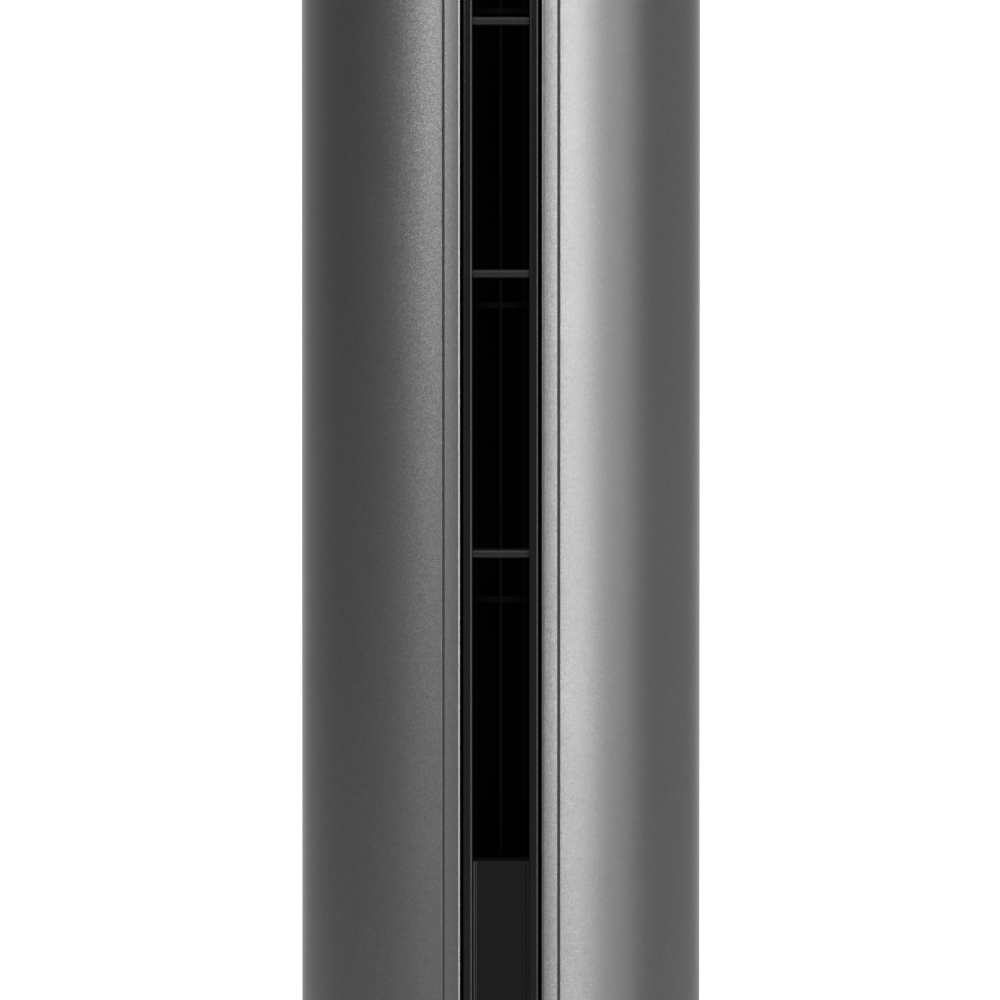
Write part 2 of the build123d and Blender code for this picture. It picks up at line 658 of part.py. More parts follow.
def motor_rotor():
    """Magnet rotor on the motor shaft."""
    z0, z1 = MOTOR_Z0 + 15, MOTOR_Z1 - 13
    body = ring(SHAFT_R, 15.8, z0, z1, 0, IMPELLER_Y)
    return chamfer(body.edges().filter_by(GeomType.CIRCLE).sort_by(SortBy.RADIUS)[-2:], 0.8)


def motor_shaft():
    """Steel shaft from the motor's lower bearing up into the drive hub."""
    return chamfer(
        disc(SHAFT_R, MOTOR_Z0 - 2, IMPELLER_Z0 + 12, 0, IMPELLER_Y).edges().sort_by(Axis.Z)[-1], 0.6
    )


def motor_bushes():
    """Three grooved rubber bushes between the motor's ears and the motor plate."""
    z = MOTOR_Z1 + 0.05

    def bush(x, y):
        body = disc(6.0, z + 3.02, MOTOR_PLATE_Z - 0.02, x, y) + disc(4.0, z - 0.1, z + 4, x, y)
        return body + disc(6.0, z - 3, z - 0.02, x, y) - disc(1.8, z - 9, z + 20, x, y)

    return gather(bush(x, y) for x, y in motor_bush_places())


def motor_screws():
    """Three screws up through the bushes into the motor plate."""
    one = screw(4.2, 2.2, 1.55, 16.5)
    return gather(Pos(x, y, MOTOR_Z1 - 2.97) * one for x, y in motor_bush_places())


# ---------------------------------------------------------------- swing drive
def pinion_y():
    """Distance from the column's axis to the pinion's, behind the post."""
    return GEAR_MODULE * (GEAR_TEETH + PINION_TEETH) / 2


def swing_pinion():
    """Pinion on the geared swing motor, which walks round the fixed gear."""
    z = POST_TOP + 0.5
    face = gear_outline(PINION_TEETH, -90 + 180 / PINION_TEETH)
    body = Pos(0, 0, z) * extrude(face, GEAR_FACE - 1) + disc(5, z, z + GEAR_FACE + 1)
    return Pos(0, pinion_y(), 0) * (body + disc(2.5, z, 62))


def swing_motor():
    """Small geared motor with two ears, standing on the turntable's pillars."""
    z = 52.4
    body = disc(14, z, z + 19) + block(-17.5, 17.5, -3.5, 3.5, z, z + 1.0)
    for side in (-1, 1):
        body += disc(3.5, z, z + 1.0, side * 17.5, 0)
    body += block(-7, 7, 10, 17, z + 2, z + 17)
    for side in (-1, 1):
        body -= disc(1.7, z - 1, z + 3, side * 17.5, 0)
    body -= disc(2.5 + RUN, z - 1, z + 11)
    return Pos(0, pinion_y(), 0) * body


# ---------------------------------------------------------------- electronics
def board_bracket():
    """Bent plate on the floor that holds the driver board upright."""
    low, back = FLOOR_Z + BULKHEAD_T + 0.05, BRACKET_Y + 2
    body = block(-30, 30, BRACKET_Y, back, low, 178) - block(-20, 20, -50, -20, 100, 150)
    body += block(-26, 26, BRACKET_Y - 8, back, low, low + 2)
    for x, z in board_corners():
        post = Pos(x, back + 1.5, z) * Rot(90, 0, 0)
        body += post * Cylinder(3.5, 5) - post * Cylinder(1.25, 9)
    return body


def board_corners():
    """Places of the driver board's screws, as side and height."""
    return [(side * 25, z) for side in (-1, 1) for z in (88, 172)]


def driver_board():
    """Power and motor-driver board with its tall parts."""
    face = BRACKET_Y + 6.05 + BOARD_T
    body = block(-29, 29, face - BOARD_T, face, 84, 176)
    for x, z in board_corners():
        body -= Pos(x, face, z) * Rot(90, 0, 0) * Cylinder(1.6, 6)
    body += block(-22, -4, face - 0.1, face + 13, 98, 116)
    body += block(4, 22, face - 0.1, face + 8, 96, 104)
    body += block(-12, 12, face - 0.1, face + 10, 152, 168)
    for x in (2, 16):
        body += Pos(x, face + 6.9, 128) * Rot(90, 0, 0) * Cylinder(5.5, 14)
    return body


def short_screws():
    """Six like screws: four hold the driver board and two the swing motor."""
    one = screw(2.7, 1.5, 1.2, 5.4)
    facing = Rot(90, 0, 0) * one
    places = [Pos(x, BRACKET_Y + 6.07 + BOARD_T, z) * facing for x, z in board_corners()]
    places += [Pos(side * 17.5, pinion_y(), 53.42) * Rot(180, 0, 0) * one for side in (-1, 1)]
    return gather(places)


# ---------------------------------------------------------------- top
def top_cap():
    """Rounded rim that closes the column and carries the control deck."""
    outline = [
        (DECK_R + 0.2, CAP_Z1 - 1.2), (DECK_R + 1.4, CAP_Z1), (COLUMN_R, CAP_Z1),
        (COLUMN_R, COLUMN_Z1 + 0.5),
        (BULKHEAD_R, COLUMN_Z1 + 0.5), (BULKHEAD_R, COLUMN_Z1 - 8), (BULKHEAD_R - 2.4, COLUMN_Z1 - 8),
        (BULKHEAD_R - 2.4, 973.6),
        (51, 973.6), (51, DECK_Z0 - 0.05), (DECK_R + 0.2, DECK_Z0 - 0.05),
    ]
    body = turned(outline, [0, 0.3, 4.5, 0, 0, 0, 0, 0, 0, 0, 0])
    front = block(-21, 21, -70, -50, COLUMN_Z1 - 9, COLUMN_Z1 + 0.5)
    for middle in (-134, 134):
        start, end = middle - 7, middle + 7
        body -= sector(BULKHEAD_R - 4, BULKHEAD_R + 0.25, start, end, COLUMN_Z1 - 9, COLUMN_Z1 + 0.4)
    return body - front


def key_places():
    """Plan points of the ring keys, with the power key in the middle."""
    places = {name: spot(angle, KEY_RING) for name, angle in KEY_ANGLES.items()}
    return {"power_key": (0.0, 0.0), **places}


def key_radius(name):
    """Radius of a key's cap."""
    return POWER_KEY_R if name == "power_key" else KEY_R


def control_deck():
    """Glossy disc with the key openings, the display opening and four posts for its board."""
    body = disc(DECK_R, DECK_Z0, DECK_Z1)
    for name, (x, y) in key_places().items():
        body -= disc(key_radius(name) + 0.35, DECK_Z0 - 1, DECK_Z1 + 1, x, y)
    body -= block(-15.1, 15.1, 20.9, 31.1, DECK_Z0 - 1, DECK_Z1 + 1)
    for x, y in around(4, 44, 45):
        post = disc(3.0, BOARD_Z + BOARD_T + 0.02, DECK_Z0 + 1, x, y)
        body += post - disc(1.05, BOARD_Z, DECK_Z0 - 2, x, y)
        body -= disc(1.05, BOARD_Z, DECK_Z0 - 2, x, y)
    return body


def display_window():
    """Smoked window over the speed and timer lights."""
    top = block(-15, 15, 21, 31, DECK_Z0 - 1.5, DECK_Z1)
    return top + block(-17, 17, 19, 33, DECK_Z0 - 1.5, DECK_Z0 - 0.03)


def control_board():
    """Key and display board under the deck."""
    body = disc(49, BOARD_Z, BOARD_Z + BOARD_T)
    for x, y in around(4, 44, 45):
        body -= disc(1.4, BOARD_Z - 1, BOARD_Z + 3, x, y)
    body += block(-12, 12, 22, 30, BOARD_Z + BOARD_T - 0.1, DECK_Z0 - 3)
    return body + block(-10, 10, -8, 8, BOARD_Z - 6, BOARD_Z + 0.1)


def control_board_screws():
    """Four screws up into the deck's posts."""
    one = screw(2.2, 1.3, 1.0, 7.5)
    return gather(Pos(x, y, BOARD_Z - 0.02) * one for x, y in around(4, 44, 45))


def key_switches():
    """One short-stroke switch under each key."""
    z = BOARD_Z + BOARD_T + 0.02

    def switch(x, y):
        return block(x - 3, x + 3, y - 3, y + 3, z, z + 3.2) + disc(1.7, z + 3, z + SWITCH_H, x, y)

    return gather(switch(x, y) for x, y in key_places().values())


def key(name):
    """Push key: a domed cap through the deck, a collar under it and a stem over its switch."""
    x, y = key_places()[name]
    radius = key_radius(name)
    cap = disc(radius, DECK_Z0 - 3, DECK_Z1 + 1.6, x, y)
    cap = fillet(cap.edges().filter_by(GeomType.CIRCLE).sort_by(Axis.Z)[-1], 0.7)
    collar = disc(radius + 1.4, DECK_Z0 - 3, DECK_Z0 - 0.6, x, y)
    stem = disc(2.4, BOARD_Z + BOARD_T + SWITCH_H + 1.2, DECK_Z0 - 2, x, y)
    return cap + collar + stem


# ---------------------------------------------------------------- nodes
def nodes():
    """Every node's name and shape, from the floor up."""
    yield "rubber_feet", rubber_feet()
    yield "base_cover", base_cover()
    yield "base_cover_screws", base_cover_screws()
    yield "base_shell", base_shell()
    yield "base_weight", base_weight()
    yield "power_socket", power_socket()
    yield "swivel_post", swivel_post()
    yield "inner_base_screws", inner_base_screws()
    yield "glide_ring", glide_ring()
    yield "swing_gear", swing_gear()
    yield "swing_gear_screws", swing_gear_screws()
    yield "swing_pinion", swing_pinion()
    yield "swing_motor", swing_motor()
    yield "tower_floor", tower_floor()
    yield "board_bracket", board_bracket()
    yield "driver_board", driver_board()
    yield "short_screws", short_screws()
    yield "motor_can", motor_can()
    yield "motor_end_bell", motor_end_bell()
    yield "motor_bearings", motor_bearings()
    yield "motor_stator", motor_stator()
    yield "stator_coils", stator_coils()
    yield "motor_rotor", motor_rotor()
    yield "motor_shaft", motor_shaft()
    yield "motor_bushes", motor_bushes()
    yield "motor_screws", motor_screws()
    yield "motor_plate", motor_plate()
    yield "drive_hub", drive_hub()
    yield "impeller", impeller()
    yield "top_pin", top_pin()
    yield "top_bearing", top_bearing()
    yield "bearing_cup", bearing_cup()
    yield "bearing_plate", bearing_plate()
    yield "bulkhead_screws", bulkhead_screws()
    yield "scroll_wall", scroll_wall()
    yield "tongue_wall", tongue_wall()
    yield "outlet_grille", outlet_grille()
    yield "outlet_frame", outlet_frame()
    yield "lower_panel", lower_panel()
    yield "upper_panel", upper_panel()
    yield "remote_window", remote_window()
    yield "left_trim_strip", trim_strip(-1)
    yield "right_trim_strip", trim_strip(1)
    yield "left_shell", side_shell(-1)
    yield "right_shell", side_shell(1)
    yield "intake_grille", intake_grille()
    yield "rear_cover", rear_cover()
    yield "rear_cover_screws", rear_cover_screws()
    yield "handle_scoop", handle_scoop()
    yield "top_cap", top_cap()
    yield "control_deck", control_deck()
    yield "display_window", display_window()
    yield "control_board", control_board()
    yield "control_board_screws", control_board_screws()
    yield "key_switches", key_switches()
    for name in key_places():
        yield name, key(name)


os.makedirs("parts", exist_ok=True)
for node, shape in nodes():
    export_step(shape, f"parts/{node}.step")
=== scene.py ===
"""Looks of a slim column tower fan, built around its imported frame.

Metres, +Z up, the air slot faces -Y. Plan angles run from the front (-Y) towards +X, in degrees.
"""
import json
import logging
import math
from dataclasses import dataclass, field
from enum import Enum
from typing import Iterable, Sequence

import bmesh
import bpy
from mathutils import Matrix, Vector


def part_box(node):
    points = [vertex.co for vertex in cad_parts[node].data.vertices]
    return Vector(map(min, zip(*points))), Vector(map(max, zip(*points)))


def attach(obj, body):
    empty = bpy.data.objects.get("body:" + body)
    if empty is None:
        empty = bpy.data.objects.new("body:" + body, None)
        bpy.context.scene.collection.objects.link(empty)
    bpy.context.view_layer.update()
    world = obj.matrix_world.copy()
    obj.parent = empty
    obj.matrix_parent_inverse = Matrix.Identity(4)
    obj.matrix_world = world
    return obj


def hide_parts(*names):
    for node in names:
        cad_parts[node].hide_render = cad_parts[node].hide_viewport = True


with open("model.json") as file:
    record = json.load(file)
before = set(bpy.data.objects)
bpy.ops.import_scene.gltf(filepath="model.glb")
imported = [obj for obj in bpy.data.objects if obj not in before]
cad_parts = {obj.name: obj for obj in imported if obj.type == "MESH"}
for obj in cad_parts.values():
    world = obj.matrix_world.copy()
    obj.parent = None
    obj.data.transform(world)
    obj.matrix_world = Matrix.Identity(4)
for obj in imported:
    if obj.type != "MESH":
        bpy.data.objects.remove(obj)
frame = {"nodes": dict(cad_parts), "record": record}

LOG = logging.getLogger("tower_fan")
MM = 0.001
SHARP_ANGLE = 48.0
PANEL_PLAY = 0.05 * MM
Point2 = tuple[float, float]
Piece = bpy.types.Object
Material = bpy.types.Material
NodeTree = bpy.types.NodeTree
Node = bpy.types.Node
Socket = bpy.types.NodeSocket


# ------------------------------------------------------------------ plain geometry
def spot(angle: float, radius: float) -> Point2:
    """Point on the plan.

    Args:
        angle: plan angle in degrees, from the front towards +X.
        radius: distance from the column's axis.

    Returns:
        The point's x and y.
    """
    return radius * math.sin(math.radians(angle)), -radius * math.cos(math.radians(angle))


def plan_angle(x: float, radius: float) -> float:
    """Plan angle at which a circle about the column's axis reaches x."""
    return math.degrees(math.asin(x / radius))


def rounded(corners: Sequence[Point2], radii: Sequence[float], steps: int = 5) -> list[Point2]:
    """Closed outline with its corners rounded.

    Args:
        corners: the outline's corners in order.
        radii: one radius for each corner, 0 for a sharp one.
        steps: segments in each rounded corner.

    Returns:
        The outline's points.
    """
    outline: list[Point2] = []
    for i, (corner, radius) in enumerate(zip(corners, radii)):
        here = Vector(corner)
        before = Vector(corners[i - 1]) - here
        after = Vector(corners[(i + 1) % len(corners)]) - here
        if radius <= 0:
            outline.append(tuple(here))
            continue
        turn = before.angle(after)
        reach = radius / math.tan(turn / 2)
        reach = min(reach, before.length * 0.49, after.length * 0.49)
        radius = reach * math.tan(turn / 2)
        bisector = (before.normalized() + after.normalized()).normalized()
        centre = here + bisector * (radius / math.sin(turn / 2))
        start = here + before.normalized() * reach - centre
        end = here + after.normalized() * reach - centre
        sweep = start.angle_signed(end)
        for k in range(steps + 1):
            spoke = start.copy()
            spoke.rotate(Matrix.Rotation(-sweep * k / steps, 2))
            outline.append(tuple(centre + spoke))
    return outline


def arc_points(radius: float, start: float, end: float, steps: int) -> list[Point2]:
    """Points along a circle about the column's axis between two plan angles."""
    return [spot(start + (end - start) * k / steps, radius) for k in range(steps + 1)]


def mirrored(outline: Iterable[Point2]) -> list[Point2]:
    """The outline reflected to the other side of the slot."""
    return [(-x, y) for x, y in outline]


# ------------------------------------------------------------------ meshes
def new_object(name: str, mesh: bpy.types.Mesh) -> Piece:
    """Object at the origin that shows a mesh.

    Args:
        name: the object's name.
        mesh: the mesh to show.

    Returns:
        The new object.
    """
    made = bpy.data.objects.new(name, mesh)
    bpy.context.scene.collection.objects.link(made)
    return made


def mesh_object(name: str, verts: Sequence[Sequence[float]], faces: Sequence[Sequence[int]]) -> Piece:
    """Closed mesh with its doubles merged and its faces turned outwards.

    Args:
        name: the piece's name.
        verts: corner places in metres.
        faces: corner indices of each face.

    Returns:
        The new object.
    """
    mesh = bpy.data.meshes.new(name)
    mesh.from_pydata([tuple(v) for v in verts], [], [tuple(f) for f in faces])
    shape = bmesh.new()
    shape.from_mesh(mesh)
    bmesh.ops.remove_doubles(shape, verts=shape.verts, dist=1e-7)
    bmesh.ops.recalc_face_normals(shape, faces=shape.faces)
    shape.to_mesh(mesh)
    shape.free()
    mesh.shade_smooth()
    return new_object(name, mesh)


def upright(name: str, outline: Sequence[Point2], low: float, high: float) -> Piece:
    """Solid that stands upright on a plan outline.

    Args:
        name: the piece's name.
        outline: closed outline on the plan.
        low: height of its foot.
        high: height of its head.

    Returns:
        The new object.
    """
    count = len(outline)
    verts = [(x, y, z) for z in (low, high) for x, y in outline]
    sides = [(i, (i + 1) % count, count + (i + 1) % count, count + i) for i in range(count)]
    caps = [tuple(range(count)), tuple(range(count, 2 * count))]
    return mesh_object(name, verts, sides + caps)


def lathe(name: str, outline: Sequence[Point2], steps: int = 160, centre: Point2 = (0, 0)) -> Piece:
    """Solid of revolution about an upright axis.

    Args:
        name: the piece's name.
        outline: closed outline of (radius, height).
        steps: segments round the axis.
        centre: the axis's place on the plan.

    Returns:
        The new object.
    """
    count = len(outline)
    verts: list[tuple[float, float, float]] = []
    faces: list[tuple[int, ...]] = []
    for s in range(steps):
        turn = 2 * math.pi * s / steps
        verts += [(centre[0] + r * math.cos(turn), centre[1] + r * math.sin(turn), z) for r, z in outline]
    for s in range(steps):
        here, there = s * count, (s + 1) % steps * count
        for i in range(count):
            j = (i + 1) % count
            faces.append((here + i, there + i, there + j, here + j))
    return mesh_object(name, verts, faces)


def box_object(name: str, low: Sequence[float], high: Sequence[float]) -> Piece:
    """Box between two corners."""
    outline = [(low[0], low[1]), (high[0], low[1]), (high[0], high[1]), (low[0], high[1])]
    return upright(name, outline, low[2], high[2])


def moved(piece: Piece, matrix: Matrix) -> Piece:
    """The piece with its mesh carried by a matrix, its object left at the origin."""
    piece.data.transform(matrix)
    return piece


def joined(name: str, pieces: Sequence[Piece]) -> Piece:
    """One object that holds several meshes.

    Args:
        name: the new piece's name.
        pieces: the pieces to put together; they are removed.

    Returns:
        The new object.
    """
    shape = bmesh.new()
    for piece in pieces:
        shape.from_mesh(piece.data)
    mesh = bpy.data.meshes.new(name)
    shape.to_mesh(mesh)
    shape.free()
    for piece in pieces:
        bpy.data.objects.remove(piece)
    mesh.shade_smooth()
    return new_object(name, mesh)


def baked(piece: Piece) -> Piece:
    """The piece with its modifiers turned into a plain mesh.

    Args:
        piece: a piece with live modifiers.

    Returns:
        The same piece.
    """
    bpy.context.view_layer.update()
    evaluated = piece.evaluated_get(bpy.context.evaluated_depsgraph_get())
    mesh = bpy.data.meshes.new_from_object(evaluated)
    piece.modifiers.clear()
    piece.data = mesh
    return piece


def crisp(piece: Piece) -> Piece:
    """The piece with its sharp corners kept sharp and its flat faces shaded flat.

    Args:
        piece: a finished mesh.

    Returns:
        The same piece.
    """
    piece.data.shade_smooth()
    piece.data.set_sharp_from_angle(angle=math.radians(SHARP_ANGLE))
    weighted = piece.modifiers.new("even shading", "WEIGHTED_NORMAL")
    weighted.keep_sharp = True
    return baked(piece)


def softened(piece: Piece, width: float, segments: int = 3, angle: float = 40.0) -> Piece:
    """The piece with its sharp edges rounded.

    Args:
        piece: a closed mesh.
        width: how far the rounding reaches from an edge.
        segments: segments across the rounding.
        angle: edges that turn by more than this many degrees are rounded.

    Returns:
        The same piece.
    """
    bevel = piece.modifiers.new("soft edges", "BEVEL")
    bevel.width = width
    bevel.segments = segments
    bevel.limit_method = "ANGLE"
    bevel.angle_limit = math.radians(angle)
    bevel.harden_normals = True
    return baked(piece)


def cut(piece: Piece, tools: Iterable[Piece]) -> Piece:
    """The piece with other closed shapes taken out of it.

    Args:
        piece: a closed mesh.
        tools: the shapes to take out; they are removed.

    Returns:
        The same piece.
    """
    for tool in tools:
        hole = piece.modifiers.new("cut", "BOOLEAN")
        hole.operation = "DIFFERENCE"
        hole.solver = "EXACT"
        hole.object = tool
        baked(piece)
        bpy.data.objects.remove(tool)
    return piece


def rod(name: str, radius: float, start: Vector, end: Vector, steps: int = 32) -> Piece:
    """Closed cylinder between two points.

    Args:
        name: the piece's name.
        radius: the cylinder's radius.
        start: middle of one end.
        end: middle of the other end.
        steps: segments round it.

    Returns:
        The new object.
    """
    way = end - start
    outline = [(0, 0), (radius, 0), (radius, way.length), (0, way.length)]
    turn = Vector((0, 0, 1)).rotation_difference(way).to_matrix().to_4x4()
    return moved(lathe(name, outline, steps), Matrix.Translation(start) @ turn)


def peg(name: str, radius: float, centre: Point2, low: float, high: float, steps: int) -> Piece:
    """Upright closed cylinder between two heights."""
    return rod(name, radius, Vector((*centre, low)), Vector((*centre, high)), steps)


# ------------------------------------------------------------------ node building
class Tree:
    """Small helper that adds nodes to a tree and links them by name."""

    def __init__(self, tree: NodeTree) -> None:
        """Keeps the tree that nodes are added to."""
        self.tree = tree

    def add(self, kind: str, settings: dict[str, object] | None = None, **inputs: object) -> Node:
        """Adds a node.

        Args:
            kind: Blender's name of the node type.
            settings: values of the node's own properties.
            inputs: input name with underscores for spaces, or i and a number, to a value or a socket.

        Returns:
            The new node.
        """
        node = self.tree.nodes.new(kind)
        for key, value in (settings or {}).items():
            setattr(node, key, value)
        for key, value in inputs.items():
            numbered = key[0] == "i" and key[1:].isdigit()
            socket = node.inputs[int(key[1:])] if numbered else node.inputs[key.replace("_", " ")]
            if isinstance(value, Socket):
                self.link(value, socket)
            else:
                socket.default_value = value
        return node

    def link(self, source: Socket, sink: Socket) -> None:
        """Links an output to an input."""
        self.tree.links.new(source, sink)

    def maths(self, operation: str, first: object, second: object = 0.0, third: object = 0.0) -> Socket:
        """Result of a scalar math node."""
        node = self.add("ShaderNodeMath", {"operation": operation}, i0=first, i1=second, i2=third)
        return node.outputs[0]

    def vector(self, x: object, y: object, z: object) -> Socket:
        """A vector made of three numbers."""
        return self.add("ShaderNodeCombineXYZ", None, X=x, Y=y, Z=z).outputs[0]

    def scaled(self, vector: object, factor: object) -> Socket:
        """A vector or a colour times a number."""
        return self.add("ShaderNodeVectorMath", {"operation": "SCALE"}, i0=vector, Scale=factor).outputs[0]

    def summed(self, operation: str, first: object, second: object) -> Socket:
        """Sum or difference of two vectors."""
        return self.add("ShaderNodeVectorMath", {"operation": operation}, i0=first, i1=second).outputs[0]

    def mapped(self, value: Socket, low: float, high: float, to_low: float, to_high: float) -> Socket:
        """A number carried from one range to another and held inside it."""
        node = self.add("ShaderNodeMapRange", None, i0=value, i1=low, i2=high, i3=to_low, i4=to_high)
        return node.outputs[0]


class SocketKind(Enum):
    """Kinds of input and output that the trees use."""

    NUMBER = "NodeSocketFloat"
    WHOLE = "NodeSocketInt"
    COLOUR = "NodeSocketColor"
    VECTOR = "NodeSocketVector"
    OBJECT = "NodeSocketObject"
    MATERIAL = "NodeSocketMaterial"
    SHAPE = "NodeSocketGeometry"

    @classmethod
    def of(cls, value: object) -> "SocketKind":
        """The kind of input that a first value belongs to.

        Args:
            value: the first value, or None for an input that takes an object.

        Returns:
            The kind.
        """
        if value is None:
            return cls.OBJECT
        if isinstance(value, tuple):
            return cls.COLOUR
        return cls.WHOLE if isinstance(value, int) else cls.NUMBER


class ShapeTree(Tree):
    """A Geometry Nodes tree with named inputs, which ends in Realize Instances and Set Material."""

    def __init__(self, name: str, inputs: dict[str, object], takes_shape: bool = False) -> None:
        """Makes the tree and its inputs.

        Args:
            name: the tree's name.
            inputs: each input's name and first value.
            takes_shape: whether the object's own mesh comes in.
        """
        super().__init__(bpy.data.node_groups.new(name, "GeometryNodeTree"))
        face = self.tree.interface
        if takes_shape:
            face.new_socket(name="Places", in_out="INPUT", socket_type=SocketKind.SHAPE.value)
        for label, value in inputs.items():
            made = face.new_socket(name=label, in_out="INPUT", socket_type=SocketKind.of(value).value)
            if value is not None:
                made.default_value = value
        face.new_socket(name="Material", in_out="INPUT", socket_type=SocketKind.MATERIAL.value)
        face.new_socket(name="Shape", in_out="OUTPUT", socket_type=SocketKind.SHAPE.value)
        self.source = self.tree.nodes.new("NodeGroupInput")

    def given(self, label: str) -> Socket:
        """The named input's socket inside the tree."""
        return self.source.outputs[label]

    def span(self, low: str, high: str) -> Socket:
        """How much the second named input exceeds the first."""
        return self.maths("SUBTRACT", self.given(high), self.given(low))

    def order(self) -> Socket:
        """Each point's number, from 0."""
        return self.add("GeometryNodeInputIndex").outputs[0]

    def around(self, radius: Socket, turn: Socket) -> tuple[Socket, Socket]:
        """X and y at a plan angle in radians."""
        back = self.maths("MULTIPLY", self.maths("COSINE", turn), -1.0)
        return self.maths("MULTIPLY", radius, self.maths("SINE", turn)), self.maths("MULTIPLY", radius, back)

    def points(self, count: Socket, position: Socket) -> Socket:
        """A row of points, each put where its own number says."""
        line = self.add("GeometryNodeMeshLine", None, Count=count, Offset=(0.0, 0.0, 0.0))
        return self.put(line.outputs[0], position)

    def put(self, shape: Socket, position: Socket) -> Socket:
        """The shape with its points moved to a position."""
        return self.add("GeometryNodeSetPosition", None, Geometry=shape, Position=position).outputs[0]

    def copies(self, points: Socket, pattern: Socket, turn: object = (0.0, 0.0, 0.0)) -> Socket:
        """One copy of a pattern at every point."""
        node = self.add("GeometryNodeInstanceOnPoints", None, Points=points, Instance=pattern, Rotation=turn)
        return node.outputs[0]

    def box(self, width: Socket, depth: Socket, height: Socket) -> Socket:
        """A box about the origin."""
        return self.add("GeometryNodeMeshCube", None, Size=self.vector(width, depth, height)).outputs[0]

    def hoop(self, curve: Socket, width: Socket, height: Socket) -> Socket:
        """A curve thickened to a flat band with closed ends."""
        section = self.add("GeometryNodeCurvePrimitiveQuadrilateral", None, Width=width, Height=height)
        node = self.add("GeometryNodeCurveToMesh", None, Curve=curve, Profile_Curve=section.outputs[0],
                        Fill_Caps=True)
        return node.outputs[0]

    def both(self, first: Socket, second: Socket) -> Socket:
        """Two shapes as one."""
        node = self.add("GeometryNodeJoinGeometry")
        for shape in (first, second):
            self.link(shape, node.inputs[0])
        return node.outputs[0]

    def end(self, shape: Socket) -> NodeTree:
        """Closes the tree.

        Args:
            shape: what the tree makes.

        Returns:
            The tree, whose output is real meshes with smooth faces and one material.
        """
        real = self.add("GeometryNodeRealizeInstances", None, Geometry=shape)
        smooth = self.add("GeometryNodeSetShadeSmooth", None, Geometry=real.outputs[0])
        dressed = self.add(
            "GeometryNodeSetMaterial", None, Geometry=smooth.outputs[0], Material=self.given("Material")
        )
        sink = self.tree.nodes.new("NodeGroupOutput")
        self.link(dressed.outputs[0], sink.inputs[0])
        return self.tree


def grown(
    name: str,
    tree: NodeTree,
    values: dict[str, object],
    places: Piece | None = None,
    keep_modifier: bool = False,
) -> Piece:
    """Piece that a Geometry Nodes tree makes.

    Args:
        name: the piece's name.
        tree: the tree that makes it.
        values: the tree's inputs by name.
        places: object whose points the tree uses, if it takes any.
        keep_modifier: leaves the result live, for more modifiers after it.

    Returns:
        The piece, as a plain mesh unless it stays live.
    """
    piece = places or new_object(name, bpy.data.meshes.new(name))
    piece.name = name
    modifier = piece.modifiers.new("made by rule", "NODES")
    modifier.node_group = tree
    sockets = {item.name: item.identifier for item in tree.interface.items_tree if item.in_out == "INPUT"}
    for label, value in values.items():
        modifier[sockets[label]] = value
    return piece if keep_modifier else baked(piece)


# ------------------------------------------------------------------ shape rules
def curved_panel_tree() -> NodeTree:
    """Sheet bent round the column's axis between two plan angles and two heights."""
    t = ShapeTree("Curved panel", {
        "Radius": 0.066, "Start angle": 17.0, "End angle": 131.0, "Foot": 0.03, "Head": 0.95,
        "Steps round": 96, "Steps up": 24,
    })
    grid = t.add("GeometryNodeMeshGrid", None, Size_X=1.0, Size_Y=1.0,
                 Vertices_X=t.given("Steps round"), Vertices_Y=t.given("Steps up"))
    place = t.add("ShaderNodeSeparateXYZ", None, i0=t.add("GeometryNodeInputPosition").outputs[0])
    along, up = (t.maths("ADD", place.outputs[axis], 0.5) for axis in (0, 1))
    degrees = t.maths("MULTIPLY_ADD", along, t.span("Start angle", "End angle"), t.given("Start angle"))
    x, y = t.around(t.given("Radius"), t.maths("RADIANS", degrees))
    z = t.maths("MULTIPLY_ADD", up, t.span("Foot", "Head"), t.given("Foot"))
    return t.end(t.put(grid.outputs[0], t.vector(x, y, z)))


def slot_ribs_tree() -> NodeTree:
    """Cross ribs whose bays shrink by a fixed step from one to the next, going up."""
    t = ShapeTree("Slot ribs", {
        "Foot": 0.3, "First bay": 0.1, "Bay step": 0.009, "Ribs": 7, "Width": 0.018, "Depth": 0.017,
        "Thickness": 0.0028, "Front": -0.0624,
    })
    rank = t.maths("ADD", t.order(), 1.0)
    pairs = t.maths("MULTIPLY", t.maths("MULTIPLY", rank, t.maths("SUBTRACT", rank, 1.0)), 0.5)
    lost = t.maths("MULTIPLY", pairs, t.given("Bay step"))
    climb = t.maths("MULTIPLY_ADD", rank, t.given("First bay"), t.given("Foot"))
    y = t.maths("MULTIPLY_ADD", t.given("Depth"), 0.5, t.given("Front"))
    places = t.points(t.given("Ribs"), t.vector(0.0, y, t.maths("SUBTRACT", climb, lost)))
    return t.end(t.copies(places, t.box(t.given("Width"), t.given("Depth"), t.given("Thickness"))))


